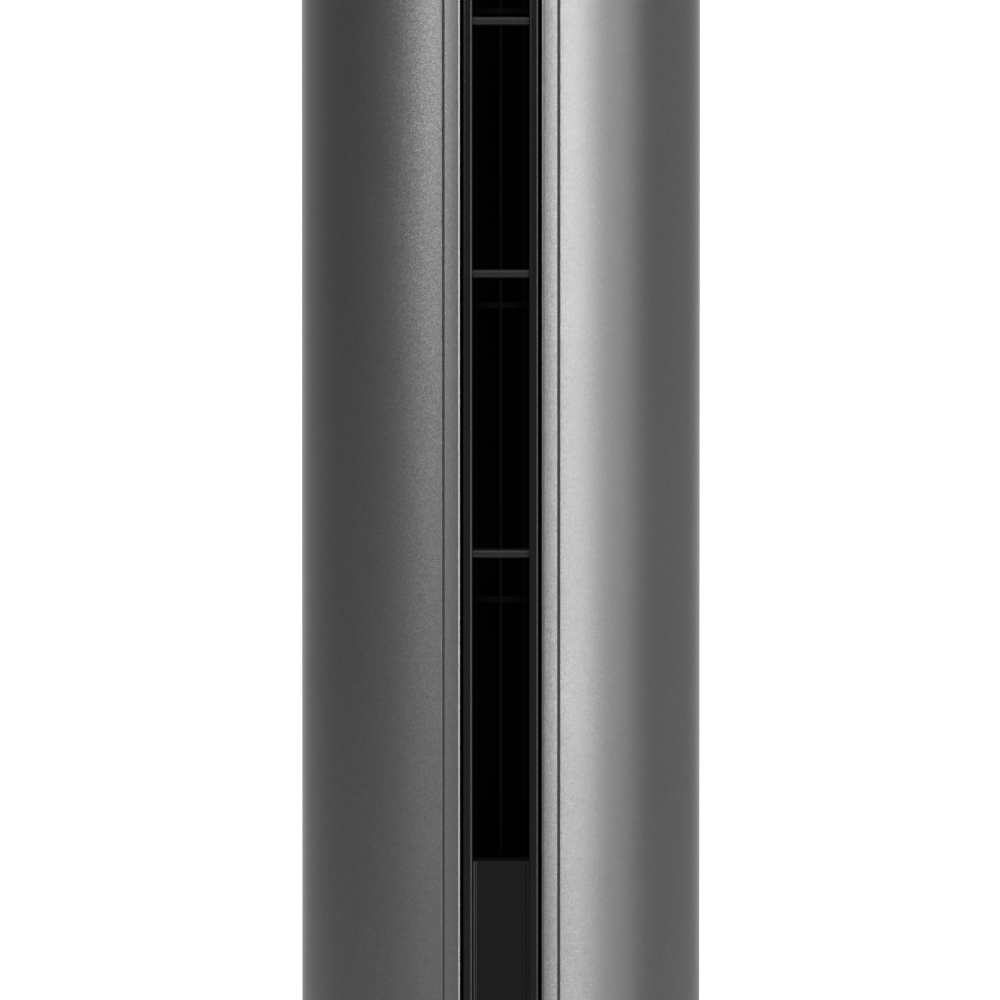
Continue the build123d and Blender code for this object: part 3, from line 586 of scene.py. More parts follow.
def intake_grille_tree() -> NodeTree:
    """Upright bars side by side round the back, tied by thin hoops behind them."""
    t = ShapeTree("Intake grille", {
        "Radius": 0.066, "Wall": 0.0025, "Start angle": 138.0, "End angle": 222.0, "Foot": 0.292,
        "Head": 0.864, "Bars": 20, "Bar width": 0.0018, "Bar overlap": 0.001,
        "Hoops": 11, "Hoop height": 0.002, "Hoop set-back": 0.0012, "Hoop share": 0.8,
    })
    sweep, rise = t.span("Start angle", "End angle"), t.span("Foot", "Head")
    rank = t.maths("ADD", t.order(), 1.0)

    share = t.maths("DIVIDE", rank, t.maths("ADD", t.given("Bars"), 1.0))
    turn = t.maths("RADIANS", t.maths("MULTIPLY_ADD", share, sweep, t.given("Start angle")))
    middle = t.maths("MULTIPLY_ADD", t.given("Wall"), -0.5, t.given("Radius"))
    x, y = t.around(middle, turn)
    places = t.points(t.given("Bars"), t.vector(x, y, t.maths("MULTIPLY_ADD", rise, 0.5, t.given("Foot"))))
    bar = t.box(t.given("Bar width"), t.given("Wall"), t.maths("ADD", rise, t.given("Bar overlap")))
    bars = t.copies(places, bar, t.vector(0.0, 0.0, turn))

    step = t.maths("DIVIDE", rise, t.maths("ADD", t.given("Hoops"), 1.0))
    level = t.maths("MULTIPLY_ADD", rank, step, t.given("Foot"))
    levels = t.points(t.given("Hoops"), t.vector(0.0, 0.0, level))
    first = t.maths("SUBTRACT", t.maths("RADIANS", t.given("Start angle")), math.pi / 2)
    arc = t.add("GeometryNodeCurveArc", None, Resolution=64,
                Radius=t.maths("SUBTRACT", middle, t.given("Hoop set-back")), Start_Angle=first,
                Sweep_Angle=t.maths("RADIANS", sweep))
    width = t.maths("MULTIPLY", t.given("Wall"), t.given("Hoop share"))
    hoop = t.hoop(arc.outputs[0], width, t.given("Hoop height"))
    return t.end(t.both(bars, t.copies(levels, hoop)))


def fastener_tree() -> NodeTree:
    """One shape set at every point of a mesh and turned to the point's own direction."""
    t = ShapeTree("Fasteners", {"Pattern": None}, takes_shape=True)
    facing = t.add("GeometryNodeInputNamedAttribute", {"data_type": "FLOAT_VECTOR"}, Name="facing")
    turn = t.add("FunctionNodeAlignRotationToVector", {"axis": "Z"}, Vector=facing.outputs[0])
    shape = t.add("GeometryNodeObjectInfo", None, Object=t.given("Pattern"))
    return t.end(t.copies(t.given("Places"), shape.outputs["Geometry"], turn.outputs[0]))


def blade_wheel_tree() -> NodeTree:
    """Blades set round an upright axis, held by a stack of flat rings."""
    t = ShapeTree("Blade wheel", {
        "Blade": None, "Blades": 28, "Centre Y": 0.008, "Foot": 0.286, "Head": 0.868, "Cells": 6,
        "Ring middle": 0.03, "Ring width": 0.0115, "Ring thickness": 0.002,
    })
    order = t.order()
    turn = t.maths("MULTIPLY", order, t.maths("DIVIDE", 2 * math.pi, t.given("Blades")))
    places = t.points(t.given("Blades"), t.vector(0.0, t.given("Centre Y"), 0.0))
    blade = t.add("GeometryNodeObjectInfo", None, Object=t.given("Blade"))
    blades = t.copies(places, blade.outputs["Geometry"], t.vector(0.0, 0.0, turn))

    step = t.maths("DIVIDE", t.span("Foot", "Head"), t.given("Cells"))
    level = t.vector(0.0, t.given("Centre Y"), t.maths("MULTIPLY_ADD", order, step, t.given("Foot")))
    levels = t.points(t.maths("ADD", t.given("Cells"), 1.0), level)
    circle = t.add("GeometryNodeCurvePrimitiveCircle", None, Resolution=96, Radius=t.given("Ring middle"))
    ring = t.hoop(circle.outputs[0], t.given("Ring width"), t.given("Ring thickness"))
    return t.end(t.both(blades, t.copies(levels, ring)))


# ------------------------------------------------------------------ shared surface effects
class ShaderGroup(Tree):
    """A shader node group with named inputs and outputs."""

    def __init__(self, name: str, inputs: dict[str, object], outputs: dict[str, SocketKind]) -> None:
        """Makes the group with its sockets.

        Args:
            name: the group's name.
            inputs: each input's name and first value.
            outputs: each output's name and kind.
        """
        super().__init__(bpy.data.node_groups.new(name, "ShaderNodeTree"))
        face = self.tree.interface
        for label, value in inputs.items():
            made = face.new_socket(name=label, in_out="INPUT", socket_type=SocketKind.of(value).value)
            made.default_value = value
        for label, kind in outputs.items():
            face.new_socket(name=label, in_out="OUTPUT", socket_type=kind.value)
        self.given = self.add("NodeGroupInput").outputs
        self.place = self.add("ShaderNodeTexCoord").outputs["Object"]

    def end(self, **results: Socket) -> NodeTree:
        """Closes the group, each named output fed by its socket."""
        sink = self.add("NodeGroupOutput", None, **results)
        return sink.id_data


class Effects:
    """Shader node groups that several finishes use, each built once."""

    def __init__(self) -> None:
        """Builds every group."""
        self.grain = self._grain()
        self.flake = self._flake()
        self.wear = self._wear()
        self.smudge = self._smudge()

    def _grain(self) -> NodeTree:
        """Fine moulded grain: a bumped normal and a mask of its hollows."""
        g = ShaderGroup("Moulded grain", {"Scale": 2500.0, "Depth": 0.00002},
                        {"Mask": SocketKind.NUMBER, "Normal": SocketKind.VECTOR})
        fine = g.add("ShaderNodeTexNoise", None, Vector=g.place, Scale=g.given["Scale"], Detail=2.0)
        cells = g.add("ShaderNodeTexVoronoi", None, Vector=g.place, Scale=g.given["Scale"])
        height = g.maths("MULTIPLY_ADD", cells.outputs["Distance"], 0.6, fine.outputs[0])
        bump = g.add("ShaderNodeBump", None, Height=height, Distance=g.given["Depth"])
        return g.end(Mask=g.mapped(height, 0.4, 1.0, 0.0, 1.0), Normal=bump.outputs[0])

    def _flake(self) -> NodeTree:
        """Metal flakes in paint: each cell has its own brightness and its own small tilt."""
        g = ShaderGroup("Metal flake", {
            "Colour": (0.2, 0.2, 0.2, 1), "Scale": 3000.0, "Contrast": 0.25, "Tilt": 0.1,
        }, {"Colour": SocketKind.COLOUR, "Mask": SocketKind.NUMBER, "Normal": SocketKind.VECTOR})
        cells = g.add("ShaderNodeTexVoronoi", None, Vector=g.place, Scale=g.given["Scale"])
        parts = g.add("ShaderNodeSeparateColor", None, Color=cells.outputs["Color"])
        cloud = g.add("ShaderNodeTexNoise", None, Vector=g.place, Scale=14.0, Detail=3.0)
        spread = g.maths("SUBTRACT", parts.outputs[0], 0.5)
        bright = g.maths("MULTIPLY_ADD", spread, g.given["Contrast"], 1.0)
        bright = g.maths("MULTIPLY", bright, g.mapped(cloud.outputs[0], 0.3, 0.7, 0.975, 1.025))
        lean = g.scaled(g.summed("SUBTRACT", cells.outputs["Color"], (0.5, 0.5, 0.5)), g.given["Tilt"])
        true = g.add("ShaderNodeNewGeometry").outputs["Normal"]
        unit = g.add("ShaderNodeVectorMath", {"operation": "NORMALIZE"}, i0=g.summed("ADD", true, lean))
        tone = g.scaled(g.given["Colour"], bright)
        return g.end(Colour=tone, Mask=parts.outputs[1], Normal=unit.outputs[0])

    def _wear(self) -> NodeTree:
        """Mask of handled edges, broken up by noise."""
        g = ShaderGroup("Edge wear", {"Width": 0.0006, "Amount": 0.5}, {"Mask": SocketKind.NUMBER})
        bevel = g.add("ShaderNodeBevel", {"samples": 2}, Radius=g.given["Width"])
        true = g.add("ShaderNodeNewGeometry").outputs["Normal"]
        same = g.add("ShaderNodeVectorMath", {"operation": "DOT_PRODUCT"}, i0=bevel.outputs[0], i1=true)
        edge = g.mapped(same.outputs["Value"], 0.995, 0.9, 0.0, 1.0)
        patches = g.add("ShaderNodeTexNoise", None, Vector=g.place, Scale=120.0, Detail=4.0)
        broken = g.mapped(patches.outputs[0], 0.35, 0.65, 0.0, 1.0)
        return g.end(Mask=g.maths("MULTIPLY", g.maths("MULTIPLY", edge, broken), g.given["Amount"]))

    def _smudge(self) -> NodeTree:
        """Soft uneven patches that a cleaned surface keeps, as an offset for its roughness."""
        g = ShaderGroup("Wiped smudges", {"Scale": 18.0, "Amount": 0.05}, {"Offset": SocketKind.NUMBER})
        cloud = g.add("ShaderNodeTexNoise", None, Vector=g.place, Scale=g.given["Scale"], Detail=5.0,
                      Distortion=0.6)
        centred = g.maths("SUBTRACT", cloud.outputs[0], 0.5)
        return g.end(Offset=g.maths("MULTIPLY", centred, g.maths("MULTIPLY", g.given["Amount"], 2.0)))


# ------------------------------------------------------------------ finishes
@dataclass(frozen=True)
class Finish:
    """A surface finish: one Principled material with grain, smudges and edge wear."""

    name: str
    colour: tuple[float, float, float]
    roughness: float
    metallic: float = 0.0
    grain_scale: float = 2500.0
    grain_depth: float = 0.00002
    wear: float = 0.0
    wear_colour: tuple[float, float, float] = (0.3, 0.3, 0.3)
    smudge: float = 0.05
    coat: float = 0.0
    coat_roughness: float = 0.05
    specular: float = 0.5

    mask_gain: float = 0.06

    def start(self) -> tuple[Material, Tree, Node]:
        """Material with an empty tree, a Principled shader and its constants.

        Returns:
            The material, the helper for its tree, and the Principled node.
        """
        made = bpy.data.materials.new(self.name)
        made.use_nodes = True
        made.node_tree.nodes.clear()
        made.diffuse_color = (*self.colour, 1)
        t = Tree(made.node_tree)
        shader = t.add("ShaderNodeBsdfPrincipled", None, Coat_Weight=self.coat,
                       Coat_Roughness=self.coat_roughness, Specular_IOR_Level=self.specular,
                       Metallic=self.metallic)
        t.add("ShaderNodeOutputMaterial", None, Surface=shader.outputs[0])
        return made, t, shader

    def roughened(self, t: Tree, effects: Effects, shader: Node, mask: Socket) -> None:
        """Feeds roughness from its base value, the smudges and a mask.

        Args:
            t: the material's tree.
            effects: the shared node groups.
            shader: the Principled node.
            mask: where the surface is rougher.
        """
        smudge = t.add("ShaderNodeGroup", {"node_tree": effects.smudge}, Amount=self.smudge)
        level = t.maths("ADD", smudge.outputs[0], self.roughness)
        t.link(t.maths("MULTIPLY_ADD", mask, self.mask_gain, level), shader.inputs["Roughness"])

    def worn(self, t: Tree, effects: Effects, colour: Socket) -> Socket:
        """Base colour with paler edges where the finish wears.

        Args:
            t: the material's tree.
            effects: the shared node groups.
            colour: the unworn colour.

        Returns:
            The colour to show.
        """
        if not self.wear:
            return colour
        wear = t.add("ShaderNodeGroup", {"node_tree": effects.wear}, Amount=self.wear)
        mix = t.add("ShaderNodeMix", {"data_type": "RGBA"}, Factor=wear.outputs[0], i6=colour,
                    i7=(*self.wear_colour, 1))
        return mix.outputs[2]

    def toned(self, t: Tree, mask: Socket, spread: float) -> Socket:
        """Base colour that a mask makes a little lighter or darker."""
        return t.scaled(self.colour, t.mapped(mask, 0.0, 1.0, 1.0 - spread, 1.0 + spread))

    def texture(self, t: Tree, effects: Effects) -> tuple[Socket, Socket, Socket]:
        """What sets this surface apart; plain finishes have a moulded grain.

        Args:
            t: the material's tree.
            effects: the shared node groups.

        Returns:
            A mask of its rougher spots, its colour and its normal.
        """
        grain = t.add("ShaderNodeGroup", {"node_tree": effects.grain}, Scale=self.grain_scale,
                      Depth=self.grain_depth)
        mask = grain.outputs["Mask"]
        return mask, self.toned(t, mask, 0.08), grain.outputs["Normal"]

    def build(self, effects: Effects) -> Material:
        """Makes the material.

        Args:
            effects: the shared node groups.

        Returns:
            The finished material.
        """
        made, t, shader = self.start()
        mask, colour, normal = self.texture(t, effects)
        self.roughened(t, effects, shader, mask)
        t.link(self.worn(t, effects, colour), shader.inputs["Base Color"])
        t.link(normal, shader.inputs["Normal"])
        return made


@dataclass(frozen=True)
class FlakePaint(Finish):
    """Satin metallic paint with fine flake."""

    mask_gain: float = 0.05
    flake_scale: float = 3300.0
    flake_contrast: float = 0.22
    flake_tilt: float = 0.07

    def texture(self, t: Tree, effects: Effects) -> tuple[Socket, Socket, Socket]:
        """Mask, colour and normal of the flakes.

        Args:
            t: the material's tree.
            effects: the shared node groups.

        Returns:
            The three sockets.
        """
        flake = t.add("ShaderNodeGroup", {"node_tree": effects.flake}, Colour=(*self.colour, 1),
                      Scale=self.flake_scale, Contrast=self.flake_contrast, Tilt=self.flake_tilt)
        return flake.outputs["Mask"], flake.outputs["Colour"], flake.outputs["Normal"]


@dataclass(frozen=True)
class Banded(Finish):
    """Finish with fine level bands, as on stacked laminations, wound wire or turned metal."""

    mask_gain: float = 0.1
    band_scale: float = 1500.0
    band_depth: float = 0.00008

    def texture(self, t: Tree, effects: Effects) -> tuple[Socket, Socket, Socket]:
        """Mask, colour and normal of bands along the height.

        Args:
            t: the material's tree.
            effects: the shared node groups; not used.

        Returns:
            The three sockets.
        """
        place = t.add("ShaderNodeTexCoord").outputs["Object"]
        wave = t.add("ShaderNodeTexWave", {"bands_direction": "Z"}, Vector=place, Scale=self.band_scale,
                     Distortion=0.4).outputs["Fac"]
        bump = t.add("ShaderNodeBump", None, Height=wave, Distance=self.band_depth)
        return wave, self.toned(t, wave, 0.25), bump.outputs[0]


@dataclass(frozen=True)
class CircuitBoard(Finish):
    """Solder mask with tracks showing faintly under it."""

    mask_gain: float = 0.08
    track_pitch: float = 700.0
    track_depth: float = 0.00003

    def texture(self, t: Tree, effects: Effects) -> tuple[Socket, Socket, Socket]:
        """Mask, colour and normal of a square-cell track pattern.

        Args:
            t: the material's tree.
            effects: the shared node groups; not used.

        Returns:
            The three sockets.
        """
        place = t.add("ShaderNodeTexCoord").outputs["Object"]
        cells = t.add("ShaderNodeTexVoronoi", {"distance": "CHEBYCHEV", "feature": "F2"}, Vector=place,
                      Scale=self.track_pitch)
        track = t.mapped(cells.outputs["Distance"], 0.55, 0.75, 0.0, 1.0)
        bump = t.add("ShaderNodeBump", None, Height=track, Distance=self.track_depth)
        return track, self.toned(t, track, 0.35), bump.outputs[0]


@dataclass(frozen=True)
class Glow(Finish):
    """Small lamp behind a clear dot."""

    mask_gain: float = 0.05
    grain_depth: float = 0.00001
    strength: float = 2.0

    def build(self, effects: Effects) -> Material:
        """Makes the material with a little emission.

        Args:
            effects: the shared node groups.

        Returns:
            The finished material.
        """
        made, t, shader = self.start()
        for label in ("Base Color", "Emission Color"):
            shader.inputs[label].default_value = (*self.colour, 1)
        shader.inputs["Emission Strength"].default_value = self.strength
        self.roughened(t, effects, shader, self.texture(t, effects)[0])
        return made


SHELL_TONE = (0.27, 0.27, 0.27)
FINISHES: dict[str, Finish] = {
    "metallic_grey": FlakePaint("metallic_grey", SHELL_TONE, 0.36, 1.0, smudge=0.02),
    "trim_grey": FlakePaint("trim_grey", SHELL_TONE, 0.36, 1.0, smudge=0.02),
    "base_grey": FlakePaint("base_grey", (0.22, 0.22, 0.22), 0.36, 1.0, smudge=0.03, wear=0.25,
                            wear_colour=(0.34, 0.34, 0.34)),
    "frame_black": Finish("frame_black", (0.007, 0.007, 0.007), 0.18, grain_depth=0.000006, specular=0.55),
    # Painted shade: the slot panels are the frame's black plastic made darker still, so that they look
    # shaded in their recess.
    "panel_black_painted_shade": Finish("panel_black_painted_shade", (0.004, 0.004, 0.004), 0.27, grain_depth=0.000006, specular=0.4),
    # Painted light: the slot grille is the duct's black plastic made lighter, so that its ribs look lit from
    # above.
    "rib_black_painted_light": Finish("rib_black_painted_light", (0.014, 0.014, 0.014), 0.3, grain_depth=0.000006, specular=0.62),
    "duct_black": Finish("duct_black", (0.006, 0.006, 0.006), 0.55, specular=0.25),
    "wheel_black": Finish("wheel_black", (0.008, 0.008, 0.008), 0.45, specular=0.3),
    "deck_gloss": Finish("deck_gloss", (0.008, 0.008, 0.009), 0.08, coat=1.0, grain_depth=0.000002,
                         smudge=0.06),
    "key_satin": Finish("key_satin", (0.035, 0.035, 0.037), 0.32, wear=0.2, wear_colour=(0.1, 0.1, 0.1)),
    "window_smoke": Finish("window_smoke", (0.012, 0.009, 0.009), 0.05, coat=1.0, grain_depth=0.000001),
    "rubber_black": Finish("rubber_black", (0.018, 0.018, 0.018), 0.75, grain_scale=900.0,
                           grain_depth=0.00008, specular=0.3),
    "steel_zinc": Finish("steel_zinc", (0.58, 0.58, 0.57), 0.3, 1.0, grain_scale=1800.0, wear=0.4,
                         wear_colour=(0.75, 0.75, 0.74)),
    "steel_shaft": Banded("steel_shaft", (0.6, 0.6, 0.6), 0.22, 1.0, band_scale=3000.0, band_depth=0.00001),
    "cast_weight": Finish("cast_weight", (0.05, 0.05, 0.05), 0.62, grain_scale=500.0, grain_depth=0.0003,
                          wear=0.4, wear_colour=(0.2, 0.19, 0.18)),
    "motor_zinc": Finish("motor_zinc", (0.5, 0.5, 0.49), 0.35, 1.0, grain_scale=120.0, grain_depth=0.00002),
    "lamination": Banded("lamination", (0.24, 0.24, 0.25), 0.4, 1.0, band_scale=320.0),
    "copper_wire": Banded("copper_wire", (0.62, 0.27, 0.12), 0.3, 1.0, band_scale=260.0, band_depth=0.0003),
    "ferrite": Finish("ferrite", (0.04, 0.04, 0.045), 0.5, grain_scale=1200.0),
    "board_green": CircuitBoard("board_green", (0.015, 0.1, 0.04), 0.3),
    "gear_white": Finish("gear_white", (0.72, 0.71, 0.67), 0.35, grain_depth=0.00001),
    "structure_black": Finish("structure_black", (0.03, 0.03, 0.032), 0.5, grain_scale=1400.0,
                              grain_depth=0.00005),
    "icon_pale": Finish("icon_pale", (0.5, 0.5, 0.5), 0.45),
    "lamp_white": Glow("lamp_white", (0.85, 0.92, 1.0), 0.3, strength=1.6),
    "lamp_off": Finish("lamp_off", (0.05, 0.05, 0.055), 0.25),
}


class Paintshop:
    """Makes each finish once and dresses pieces with it."""

    def __init__(self) -> None:
        """Builds the shared effects; materials follow as they are asked for."""
        self.effects = Effects()
        self.made: dict[str, Material] = {}

    def material(self, name: str) -> Material:
        """The material of a named finish."""
        if name not in self.made:
            self.made[name] = FINISHES[name].build(self.effects)
        return self.made[name]

    def dress(self, piece: Piece, name: str) -> Piece:
        """Gives a piece one finish all over."""
        piece.data.materials.clear()
        piece.data.materials.append(self.material(name))
        return piece


@dataclass
class Workshop:
    """What every sub-assembly needs: the finishes and the shape rules."""

    paint: Paintshop
    panel: NodeTree = field(default_factory=curved_panel_tree)
    ribs: NodeTree = field(default_factory=slot_ribs_tree)
    grille: NodeTree = field(default_factory=intake_grille_tree)
    fasteners: NodeTree = field(default_factory=fastener_tree)
    wheel: NodeTree = field(default_factory=blade_wheel_tree)

    def place(self, piece: Piece, body: str, finish: str, nodes: Sequence[str], slot: str) -> None:
        """Dresses a piece, sets it on its body and hides the frame's nodes that it stands for.

        Args:
            piece: the finished piece.
            body: the body it rides on.
            finish: the finish's name.
            nodes: the frame's nodes that it stands for, which may be none.
            slot: the record's material slot; not used.
        """
        self.paint.dress(crisp(piece), finish)
        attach(piece, body)
        if nodes:
            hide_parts(*nodes)
        LOG.info("%s rides on %s, %d faces", piece.name, body, len(piece.data.polygons))

    def curved_wall(self, name: str, thickness: float, even: bool, **sizes: float) -> Piece:
        """Curved panel thickened inwards.

        Args:
            name: the piece's name.
            thickness: the wall's thickness.
            even: keeps the thickness even at the panel's borders.
            sizes: the panel's inputs by name, with underscores for spaces.

        Returns:
            The piece.
        """
        values = {label.replace("_", " "): value for label, value in sizes.items()}
        piece = grown(name, self.panel, values | {"Steps up": 2}, keep_modifier=True)
        wall = piece.modifiers.new("wall", "SOLIDIFY")
        wall.thickness = thickness
        wall.offset = -1.0
        wall.use_even_offset = even
        return baked(piece)

    def screws(self, name: str, pattern: Piece, spots: Sequence[tuple[Vector, Vector]]) -> Piece:
        """Screws of one kind as one piece.

        Args:
            name: the piece's name.
            pattern: one screw with its head's seat at the origin, pointing out along +Z; it is removed.
            spots: each screw's seat and the direction that its head faces.

        Returns:
            The piece.
        """
        mesh = bpy.data.meshes.new(name)
        mesh.from_pydata([tuple(seat) for seat, _ in spots], [], [])
        facing = mesh.attributes.new("facing", "FLOAT_VECTOR", "POINT")
        for value, (_, way) in zip(facing.data, spots):
            value.vector = way
        piece = grown(name, self.fasteners, {"Pattern": pattern}, new_object(name, mesh))
        bpy.data.objects.remove(pattern)
        return piece


def pan_screw(head_r: float, head_h: float, shank_r: float, length: float) -> Piece:
    """Pan-head screw with a cross recess, its head's seat at the origin and its head up.

    Args:
        head_r: the head's radius.
        head_h: the head's height.
        shank_r: the shank's radius.
        length: the shank's length.

    Returns:
        The screw.
    """
    outline = rounded(
        [(0, -length), (shank_r * 0.5, -length), (shank_r, -length + shank_r), (shank_r, 0), (head_r, 0),
         (head_r, head_h * 0.55), (head_r * 0.62, head_h), (0, head_h)],
        [0, 0, 0, 0, head_h * 0.1, head_h * 0.3, head_h * 0.3, 0], 4,
    )
    body = lathe("screw", outline, 28)
    arm, depth = head_r * 0.62, head_h * 0.6
    bars = [
        box_object("slot", (-arm, -arm * 0.22, head_h - depth), (arm, arm * 0.22, head_h + depth)),
        box_object("slot", (-arm * 0.22, -arm, head_h - depth), (arm * 0.22, arm, head_h + depth)),
    ]
    return cut(body, bars)


# ------------------------------------------------------------------ column
@dataclass
class SlotPart:
    """Part that fits the air slot, with the slot's sizes as the frame has them."""

    shop: Workshop
    rail_front: float = field(init=False)
    rail_in: float = field(init=False)
    slot_foot: float = field(init=False)
    slot_head: float = field(init=False)

    def __post_init__(self) -> None:
        """Takes the slot's sizes from the frame."""
        low_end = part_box("lower_panel")[1]
        self.rail_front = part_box("outlet_frame")[0].y
        self.rail_in = low_end.x + PANEL_PLAY
        self.slot_foot, self.slot_head = low_end.z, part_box("upper_panel")[0].z


@dataclass
class Column(SlotPart):
    """Outer walls of the column: side shells, trim strips and the slot's dark frame."""

    wall: float = 2.5 * MM
    strip_in: float = 13.3 * MM
    strip_out: float = 18.43 * MM
    strip_lean: float = 17.0
    strip_bend: float = 34.0 * MM
    strip_bevel: float = 0.62 * MM
    strip_bevel_drop: float = 0.26 * MM
    groove: float = 0.65 * MM
    groove_depth: float = 0.9 * MM
    rear_edge: float = 130.8
    rail_out: float = 12.4 * MM
    rail_back: float = 7.9 * MM
    edge: float = 0.95 * MM
    panel_set_back: float = 1.3 * MM
    end_bar: float = 5 * MM
    lens_z: float = 0.925

    def __post_init__(self) -> None:
        """Takes the sizes that the frame holds from the frame."""
        super().__post_init__()
        low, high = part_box("right_shell")
        self.radius, self.foot, self.head = high.x, low.z, high.z

    def build(self) -> None:
        """Makes every piece of the outer column."""
        for side, word in ((-1, "left"), (1, "right")):
            self.side_shell(side, word)
            self.trim_strip(side, word)
        self.frame()
        self.panels()

    def side_shell(self, side: int, word: str) -> None:
        """One curved side wall with soft edges.

        Args:
            side: -1 or 1, the side of the slot in x.
            word: the side's name.
        """
        front = plan_angle(self.strip_out + self.groove, self.radius)
        start, end = (front, self.rear_edge) if side > 0 else (-self.rear_edge, -front)
        piece = self.shop.curved_wall(
            f"{word}_side_shell", self.wall, True, Radius=self.radius, Start_angle=start, End_angle=end,
            Foot=self.foot, Head=self.head, Steps_round=120,
        )
        softened(piece, 0.3 * MM, 4)
        self.shop.place(piece, "column", "metallic_grey", [f"{word}_shell"], "metallic_grey")

    def trim_strip(self, side: int, word: str) -> None:
        """Narrow strip, a little more bowed than the column, with the groove's floor beside it.

        Args:
            side: -1 or 1, the side of the slot in x.
            word: the side's name.
        """
        face_y = -math.sqrt(self.radius**2 - self.strip_out**2)
        lean = math.radians(self.strip_lean)
        across, back = self.strip_bend * math.sin(lean), self.strip_bend * math.cos(lean)
        middle = (self.strip_out - across, face_y + back)
        bow = []
        start = self.strip_in + self.strip_bevel
        for k in range(9):
            x = start + (self.strip_out - start) * k / 8
            bow.append((x, middle[1] - math.sqrt(self.strip_bend**2 - (x - middle[0]) ** 2)))
        lip, floor = self.strip_out + self.groove, face_y + self.groove_depth
        outline = rounded(
            [(self.strip_in, bow[0][1] + self.strip_bevel_drop), *bow, (self.strip_out, floor), (lip, floor),
             (lip, floor + 0.8 * MM), (self.strip_in, floor + 0.8 * MM)],
            [0.12 * MM, 0.9 * MM, *[0.0] * (len(bow) - 2), 0.4 * MM, *[0.0] * 4], 8,
        )
        outline = outline if side > 0 else mirrored(outline)
        piece = upright(f"{word}_slot_strip", outline, self.foot, self.head)
        self.shop.place(piece, "column", "trim_grey", [f"{word}_trim_strip"], "trim_grey")

    def frame(self) -> None:
        """Two dark rails with rounded edges, joined at the foot and the head."""
        back = self.rail_front + self.rail_back
        corners = [
            (self.rail_in, self.rail_front + 0.12 * MM), (self.rail_out, self.rail_front),
            (self.rail_out, back), (self.rail_in, back),
        ]
        outline = rounded(corners, [self.edge, self.edge, 0, 0], 8)
        rails = [
            upright("rail", outline, self.foot, self.head),
            upright("rail", mirrored(outline), self.foot, self.head),
        ]
        for low in (self.foot, self.head - self.end_bar):
            bar = box_object(
                "bar", (-self.rail_in - 1 * MM, self.rail_front + 0.6 * MM, low),
                (self.rail_in + 1 * MM, back - 0.2 * MM, low + self.end_bar),
            )
            rails.append(softened(bar, 0.3 * MM))
        piece = joined("slot_frame", rails)
        self.shop.place(piece, "column", "frame_black", ["outlet_frame"], "frame_black")

    def panels(self) -> None:
        """Recessed panels under and over the slot, shaped as shallow trays."""
        half = self.rail_in - PANEL_PLAY
        front = self.rail_front + self.panel_set_back
        corners = [
            (-half, front - 0.75 * MM), (-half + 0.55 * MM, front - 0.55 * MM), (-half + 1.0 * MM, front),
            (half - 1.0 * MM, front), (half - 0.55 * MM, front - 0.55 * MM), (half, front - 0.75 * MM),
            (half, front + 2.3 * MM), (-half, front + 2.3 * MM),
        ]
        outline = rounded(corners, [0, 0.3 * MM, 0.5 * MM, 0.5 * MM, 0.3 * MM, 0, 0, 0], 5)
        low, high = self.foot + self.end_bar + 0.1 * MM, self.head - self.end_bar - 0.1 * MM
        for name, node, z0, z1 in (
            ("lower_slot_panel", "lower_panel", low, self.slot_foot),
            ("upper_slot_panel", "upper_panel", self.slot_head, high),
        ):
            piece = softened(upright(name, outline, z0, z1), 0.9 * MM, 6, 60)
            # The panels wear a darker copy of the frame's black plastic: painted shade.
            self.shop.place(piece, "column", "panel_black_painted_shade", [node], "frame_black")
        lens = rounded([(0, 0), (3 * MM, 0), (3 * MM, 2.2 * MM), (0, 2.6 * MM)], [0, 0, 0.5 * MM, 0], 4)
        turn = Matrix.Translation((0, front + 1.9 * MM, self.lens_z)) @ Matrix.Rotation(math.pi / 2, 4, "X")
        window = moved(lathe("remote_lens", lens, 48), turn)
        self.shop.place(window, "column", "window_smoke", ["remote_window"], "window_smoke")


